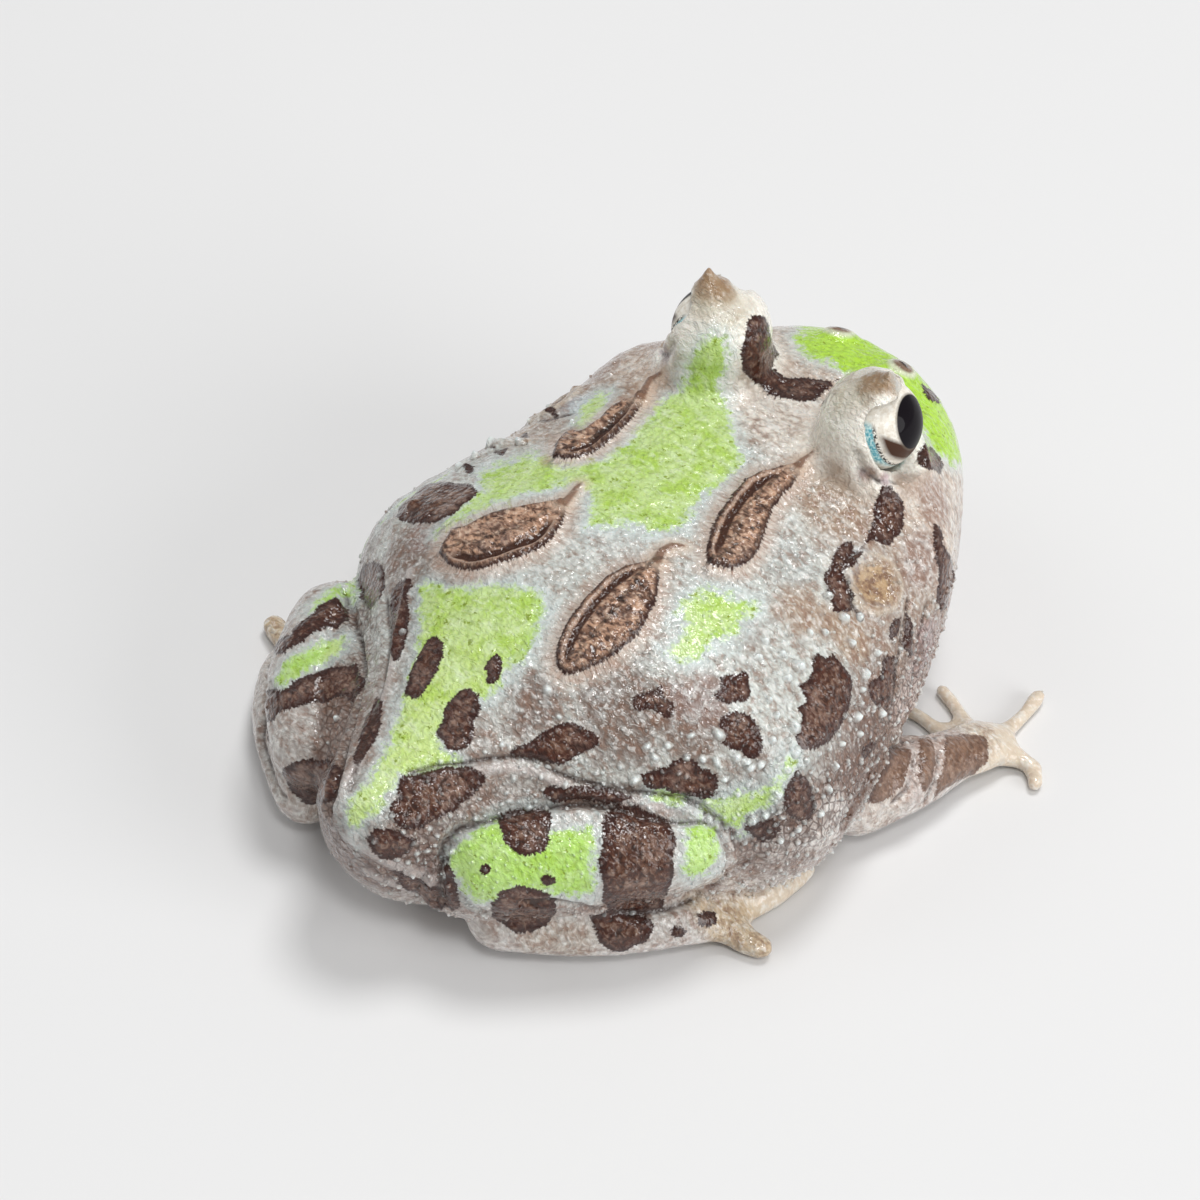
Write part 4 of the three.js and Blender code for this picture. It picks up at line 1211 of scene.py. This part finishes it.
    # Relief: granules and wrinkles, calmer on the digits, with the rays of the collars
    height = add_node(tree, inputs={0: relief_sum, 1: calm}, **TIMES)
    bead_height = add_node(tree, inputs={0: beads, 1: 0.5, 2: height}, **TIMES_PLUS)
    ray_height = add_node(tree, inputs={0: collar, 1: hatch}, **TIMES)
    height = add_node(tree, inputs={0: ray_height, 1: 0.8, 2: bead_height}, **TIMES_PLUS)
    height = add_node(tree, inputs={0: net_share, 1: -0.2, 2: height}, **TIMES_PLUS)
    bump = add_node(tree, "ShaderNodeBump", {"Strength": 1.0, "Distance": 0.28 * MM, "Height": height})
    film = add_node(tree, inputs={0: granule, 1: -0.7, 2: streak}, **TIMES_PLUS)
    film = add_node(tree, inputs={0: film, 1: calm}, **TIMES)
    film = add_node(tree, inputs={0: beads, 1: 0.5, 2: film}, **TIMES_PLUS)
    wet = add_node(tree, "ShaderNodeBump", {"Strength": 1.0, "Distance": 0.17 * MM, "Height": film})
    roughness = add_node(tree, inputs={0: cloud, 1: 0.35, 2: 0.65, 3: 0.32, 4: 0.5}, **RAMP)
    finish_surface(tree, {
        "Base Color": colour, "Roughness": roughness, "Normal": bump, "Coat Normal": wet, "IOR": 1.4,
        "Subsurface Weight": 0.08, "Subsurface Scale": 1.0,
        "Subsurface Radius": (0.9 * MM, 0.5 * MM, 0.35 * MM),
        "Specular IOR Level": 0.1, "Coat Weight": 1.0, "Coat Roughness": 0.06, "Coat IOR": 1.5,
    })
    return material


skin_finish = frog_skin()
skin.data.materials.append(skin_finish)
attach(skin, "root")
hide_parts(*FLESH)


# Eyes

PUPIL_ANGLE = math.asin(2.35 / EYE_RADIUS)
CORNEA_BULGE = 0.12


def perpendicular(direction):
    """Two directions square to the given one and to each other, the first as level as can be."""
    level = np.cross([0.0, 0.0, 1.0], direction)
    level /= np.linalg.norm(level)
    return level, np.cross(direction, level)


def grid_faces(rows, columns):
    """Quads of a grid that closes round its columns, and the fans that close its first and last row on a
    pole."""
    row, column = np.meshgrid(np.arange(rows - 1), np.arange(columns), indexing="ij")
    after = (column + 1) % columns
    quads = np.stack([
        row * columns + column, (row + 1) * columns + column,
        (row + 1) * columns + after, row * columns + after], axis=-1).reshape(-1, 4)
    k, last, pole = np.arange(columns), (rows - 1) * columns, rows * columns
    front = np.stack([np.full(columns, pole), k, (k + 1) % columns], axis=1)
    back = np.stack([np.full(columns, pole + 1), last + (k + 1) % columns, last + k], axis=1)
    return quads.tolist() + front.tolist() + back.tolist()


def eyeball(side, mirror):
    """A ball whose front bulges as a cornea: at the angle a from the gaze its radius is a little less than
    the eye's, plus a bell curve of a."""
    centre, gaze = EYE_CENTRE * mirror, GAZE * mirror
    level, upright = perpendicular(gaze)
    rings, slices = 70, 96
    a = np.linspace(0, math.pi, rings + 2)[1:-1]
    turn = np.arange(slices) / slices * 2 * math.pi
    radius = EYE_RADIUS - CORNEA_BULGE + CORNEA_BULGE * np.exp(-(a / 0.75) ** 2)
    out = np.sin(a)[:, None, None] * (
        np.cos(turn)[None, :, None] * level + np.sin(turn)[None, :, None] * upright)
    shell = centre + radius[:, None, None] * (np.cos(a)[:, None, None] * gaze + out)
    poles = centre + np.array([gaze * EYE_RADIUS, -gaze * (EYE_RADIUS - CORNEA_BULGE)])
    all_points = np.concatenate([shell.reshape(-1, 3), poles])
    piece = new_piece(f"eyeball_{side}", all_points, grid_faces(rings, slices))
    away = (all_points - centre) / np.linalg.norm(all_points - centre, axis=1, keepdims=True)
    set_field(piece, "from_gaze", np.arccos(np.clip(away @ gaze, -1, 1)))
    set_field(piece, "backward", away @ np.array([0.0, 1.0, 0.0]))
    set_field(piece, "upward", away[:, 2])
    return piece


def eye_finish():
    """A wet eyeball: a clear cornea over a silvery iris, with a round near-black pupil.
    The iris is faintly veined, with a brown cloud behind the pupil and a blue-green lower edge that a broken
    dark line sets off."""
    material, tree = new_material("wet eye with silver iris")
    place = add_node(tree, "ShaderNodeTexCoord", out="Object")
    angle, backward, upward = (
        add_node(tree, attribute_name=name, **FIELD) for name in ("from_gaze", "backward", "upward"))
    veins = add_node(tree, inputs={
        "Vector": place, "Scale": per_mm(0.5), "Detail": 4.0, "Roughness": 0.7}, **NOISE)
    spots = add_node(tree, inputs={"Vector": place, "Scale": per_mm(0.2), "Detail": 1.0}, **NOISE)
    low_rear = add_node(tree, inputs={0: upward, 1: -1.2, 2: backward}, **TIMES_PLUS)
    past_front, before_rear, low, not_front, inside, spotted = (
        add_node(tree, inputs={0: value, 1: start, 2: end}, **RAMP) for value, start, end in (
            (low_rear, -0.05, 0.1), (low_rear, 0.75, 0.5), (low_rear, -0.25, 0.0), (low_rear, 1.05, 0.85),
            (angle, 1.16, 1.1), (spots, 0.44, 0.5)))
    blue = lay_over(tree, "#5FA9B8", [(spots, 0.4, 0.6, 0.0, 1.0, "#C2E2E2")])
    colour = lay_over(tree, "#F4F1E8", [
        (veins, 0.4, 0.68, 0.0, 1.0, "#D6CCBB"),
        (angle, 1.05, 0.9, 0.0, 1.0, "#4A3226", past_front, before_rear),
        (angle, 1.1, 1.14, 0.0, 1.0, blue, low, not_front),
        (angle, 1.03, 1.08, 0.0, 1.0, "#17171A", inside, low, not_front, spotted),
        (angle, PUPIL_ANGLE + 0.06, PUPIL_ANGLE + 0.02, 0.0, 0.6, "#6A6155"),
        (angle, PUPIL_ANGLE + 0.012, PUPIL_ANGLE - 0.012, 0.0, 1.0, "#120E13"),
    ])
    finish_surface(tree, {
        "Base Color": colour, "Roughness": 0.5, "IOR": 1.38, "Specular IOR Level": 0.05,
        "Coat Weight": 0.35, "Coat Roughness": 0.02, "Coat IOR": 1.33,
    })
    return material


wet_eye = eye_finish()
for side, mirror in LEFT_AND_RIGHT.items():
    ball = eyeball(side, mirror)
    ball.data.materials.append(wet_eye)
    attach(ball, "root")
    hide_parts(f"eye_{side}")


# Warts, tubercles and granules, joined into one mesh each

DOME_SLICES = 8
DOME_RINGS = (0.3, 0.62, 0.86, 1.06)  # shares of the radius


def dome_template():
    """A unit bump: at the share r of its radius its height is a bell, (1 + cos(pi r)) / 2, and its rim is
    sunk."""
    shares = np.array(DOME_RINGS)
    turn = np.arange(DOME_SLICES) / DOME_SLICES * 2 * math.pi
    height = (1 + np.cos(math.pi * np.minimum(shares, 1))) / 2
    height[-1] = -0.35
    rings = np.stack([
        shares[:, None] * np.cos(turn), shares[:, None] * np.sin(turn),
        np.repeat(height[:, None], DOME_SLICES, axis=1)], axis=-1).reshape(-1, 3)
    shape = np.concatenate([[[0.0, 0.0, 1.0]], rings, [[0.0, 0.0, height[-1]]]])
    k = np.arange(DOME_SLICES)
    after = (k + 1) % DOME_SLICES
    triangles = [np.stack([np.zeros_like(k), 1 + k, 1 + after], axis=1)]
    for ring in range(len(shares) - 1):
        a, b = 1 + ring * DOME_SLICES, 1 + (ring + 1) * DOME_SLICES
        triangles += [
            np.stack([a + k, b + k, b + after], axis=1), np.stack([a + k, b + after, a + after], axis=1)]
    low = 1 + (len(shares) - 1) * DOME_SLICES
    triangles.append(np.stack([np.full_like(k, len(shape) - 1), low + after, low + k], axis=1))
    return shape, np.concatenate(triangles)


def domes(name, roots, radii, heights, paleness, seed):
    """Bumps at the given skin points: the template, scaled by radius across and height along the skin's normal,
    a little stretched one way and uneven at random. Each carries the skin's colour fields at its root."""
    shape, triangles = dome_template()
    random = np.random.default_rng(seed)
    centres, outward = SKIN_POINTS[roots], SKIN_NORMALS[roots]
    level = np.cross(outward, random.normal(size=(len(roots), 3)))
    level /= np.linalg.norm(level, axis=1, keepdims=True)
    other = np.cross(outward, level)
    stretch = random.uniform(0.8, 1.25, (len(roots), 1, 1))
    spread = shape[None] * (1 + random.uniform(-0.12, 0.12, (len(roots), len(shape), 1)))
    across = spread[..., :1] * stretch * level[:, None] + spread[..., 1:2] / stretch * other[:, None]
    all_points = (
        centres[:, None] + radii[:, None, None] * across
        + heights[:, None, None] * spread[..., 2:] * outward[:, None])
    all_points[..., 2] = np.maximum(all_points[..., 2], FLOOR_GAP)
    all_faces = triangles[None] + (np.arange(len(roots)) * len(shape))[:, None, None]
    piece = new_piece(name, all_points.reshape(-1, 3), all_faces.reshape(-1, 3).tolist())
    set_field(piece, "top", np.tile(paleness * smoothstep(0.0, 0.8, shape[:, 2]), len(roots)))
    for tint, colours in tints.items():
        set_tint(piece, tint, np.repeat(colours[roots], len(shape), axis=0))
    for field, values in fields.items():
        set_field(piece, field, np.repeat(values[roots], len(shape)))
    return piece


def scattered(count, spacing, density, seed):
    """Skin points picked at random, weighed by a density and thinned to one per cell of the spacing."""
    random = np.random.default_rng(seed)
    picked = random.choice(len(SKIN_POINTS), size=count, p=density / density.sum())
    cells = np.floor(SKIN_POINTS[picked] / spacing).astype(np.int64)
    _, first = np.unique(cells, axis=0, return_index=True)
    return picked[np.sort(first)], random


# Pearly warts: pixel across and down, and radius in mm
PEARLS = [
    (843, 620, 0.6), (862, 618, 0.5), (832, 597, 0.45), (801, 667, 0.65), (790, 680, 0.5), (797, 728, 0.65),
    (797, 752, 0.5), (790, 771, 0.45), (781, 795, 0.55), (867, 671, 0.6), (879, 654, 0.45), (858, 718, 0.6),
    (881, 716, 0.55), (722, 733, 0.55), (749, 821, 0.55), (767, 817, 0.45), (638, 780, 0.5), (785, 655, 0.4),
    (735, 757, 0.45), (744, 763, 0.4), (752, 768, 0.5), (764, 764, 0.45), (722, 762, 0.4), (690, 756, 0.35),
    (672, 744, 0.4), (648, 746, 0.4), (696, 735, 0.35), (655, 757, 0.4), (706, 758, 0.4), (769, 640, 0.4),
    (762, 656, 0.4), (838, 765, 0.4), (830, 790, 0.45), (822, 812, 0.45), (800, 828, 0.4), (784, 840, 0.4),
    (812, 632, 0.4), (826, 634, 0.4), (852, 646, 0.45), (864, 690, 0.4), (860, 735, 0.4), (842, 745, 0.4),
    (545, 692, 0.5), (560, 716, 0.3), (500, 745, 0.3), (383, 577, 0.4), (403, 632, 0.4), (340, 718, 0.35),
    (462, 467, 0.5), (478, 457, 0.5), (497, 443, 0.6), (519, 428, 0.5), (534, 420, 0.35), (552, 405, 0.5),
    (566, 394, 0.35), (726, 780, 0.35), (735, 795, 0.35), (775, 740, 0.4), (770, 700, 0.35), (780, 715, 0.4),
]
PEARL_SWELL = 1.25
seen_roots = np.array([nearest_vertex(on_skin(u, v)[0]) for u, v, _ in PEARLS])
other_roots = np.array([nearest_vertex(mirrored(place)[0]) for place in SKIN_POINTS[seen_roots]])
# The mirrored ones stay where the photograph doesn't look.
unseen = SKIN_NORMALS[other_roots] @ VIEW_BACK < -0.1
pearl_roots = np.concatenate([seen_roots, other_roots[unseen]])
seen_radii = PEARL_SWELL * np.array([radius for _, _, radius in PEARLS])
pearl_radii = np.concatenate([seen_radii, seen_radii[unseen]])
pearls = domes("pearly_warts", pearl_roots, pearl_radii, pearl_radii * 0.9, 1.0, 21)

upwards = np.clip(SKIN_NORMALS[:, 2] + 0.8, 0, 1)
off_floor = SKIN_POINTS[:, 2] > 1.5
brown_less = np.where(brown_depth > 0, 0.3, 1.0)
forwards = smoothstep(14, 4, SKIN_POINTS[:, 1])
jaw_less = np.where(is_node("lower_jaw"), 0.0, smoothstep(-24, -14, SKIN_POINTS[:, 1]))
left_rim = np.where((SKIN_POINTS[:, 0] > 0) & (SKIN_NORMALS @ VIEW_BACK > -0.2), 0.04, 1.0)
flank_density = fields["flank"] * off_floor * upwards * brown_less * jaw_less * left_rim
flank_density = flank_density * (0.25 + 0.75 * forwards)
picked, random = scattered(2600, 1.5, flank_density, 31)
tubercle_radii = random.uniform(0.22, 0.44, len(picked))
tubercle_heights = tubercle_radii * random.uniform(0.6, 0.9, len(picked))
tubercles = domes("tubercles", picked, tubercle_radii, tubercle_heights, 0.6, 32)

fine_density = (0.3 + 0.7 * fields["flank"]) * off_floor * upwards * (1 - fields["digit"])
fine_density = fine_density * is_node("torso", "thigh", "head", "shank")
fine_density = fine_density * (fields["lid"] > 3) * jaw_less * left_rim
picked, random = scattered(3600, 0.75, fine_density, 41)
grain_radii = random.uniform(0.12, 0.24, len(picked))
granules = domes("granules", picked, grain_radii, grain_radii * 0.7, 0.25, 42)

for piece in (pearls, tubercles, granules):
    piece.data.materials.append(skin_finish)
    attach(piece, "root")


# Studio: a pale floor and soft light

SOFTBOXES = {
    "softbox_above": {"place": (-0.02, -0.24, 0.85), "size": 0.3, "power": 3.3},
    "lamp_behind": {"place": (-0.33, 0.26, 0.8), "size": 0.18, "power": 1.7},
    "softbox_side": {"place": (0.45, 0.3, 0.7), "size": 0.5, "power": 0.6},
    "softbox_low": {"place": (-1.2, -0.15, 0.5), "size": 0.9, "power": 8.5},
}
WORLD_LIGHT = 0.32
FLOOR_SIDE = 4.0


def studio():
    mesh = bpy.data.meshes.new("floor")
    corners = np.array([(-1, -1), (1, -1), (1, 1), (-1, 1)]) * FLOOR_SIDE / 2
    mesh.from_pydata([(x, y, 0.0) for x, y in corners], [], [(0, 1, 2, 3)])
    floor = bpy.data.objects.new("floor", mesh)
    bpy.context.scene.collection.objects.link(floor)
    material, tree = new_material("matt white studio paper")
    finish_surface(tree, {"Base Color": "#E2E2E2", "Roughness": 0.9})
    mesh.materials.append(material)
    for name, box in SOFTBOXES.items():
        light = bpy.data.lights.new(name, "AREA")
        light.shape = "DISK"
        light.size = box["size"]
        light.energy = box["power"]
        thing = bpy.data.objects.new(name, light)
        thing.location = box["place"]
        thing.rotation_euler = (-Vector(box["place"])).to_track_quat("-Z", "Y").to_euler()
        bpy.context.scene.collection.objects.link(thing)
    world = bpy.data.worlds.new("studio")
    world.use_nodes = True
    world.node_tree.nodes["Background"].inputs["Color"].default_value = (1, 1, 1, 1)
    world.node_tree.nodes["Background"].inputs["Strength"].default_value = WORLD_LIGHT
    bpy.context.scene.world = world
    bpy.context.scene.view_settings.view_transform = "Standard"


studio()
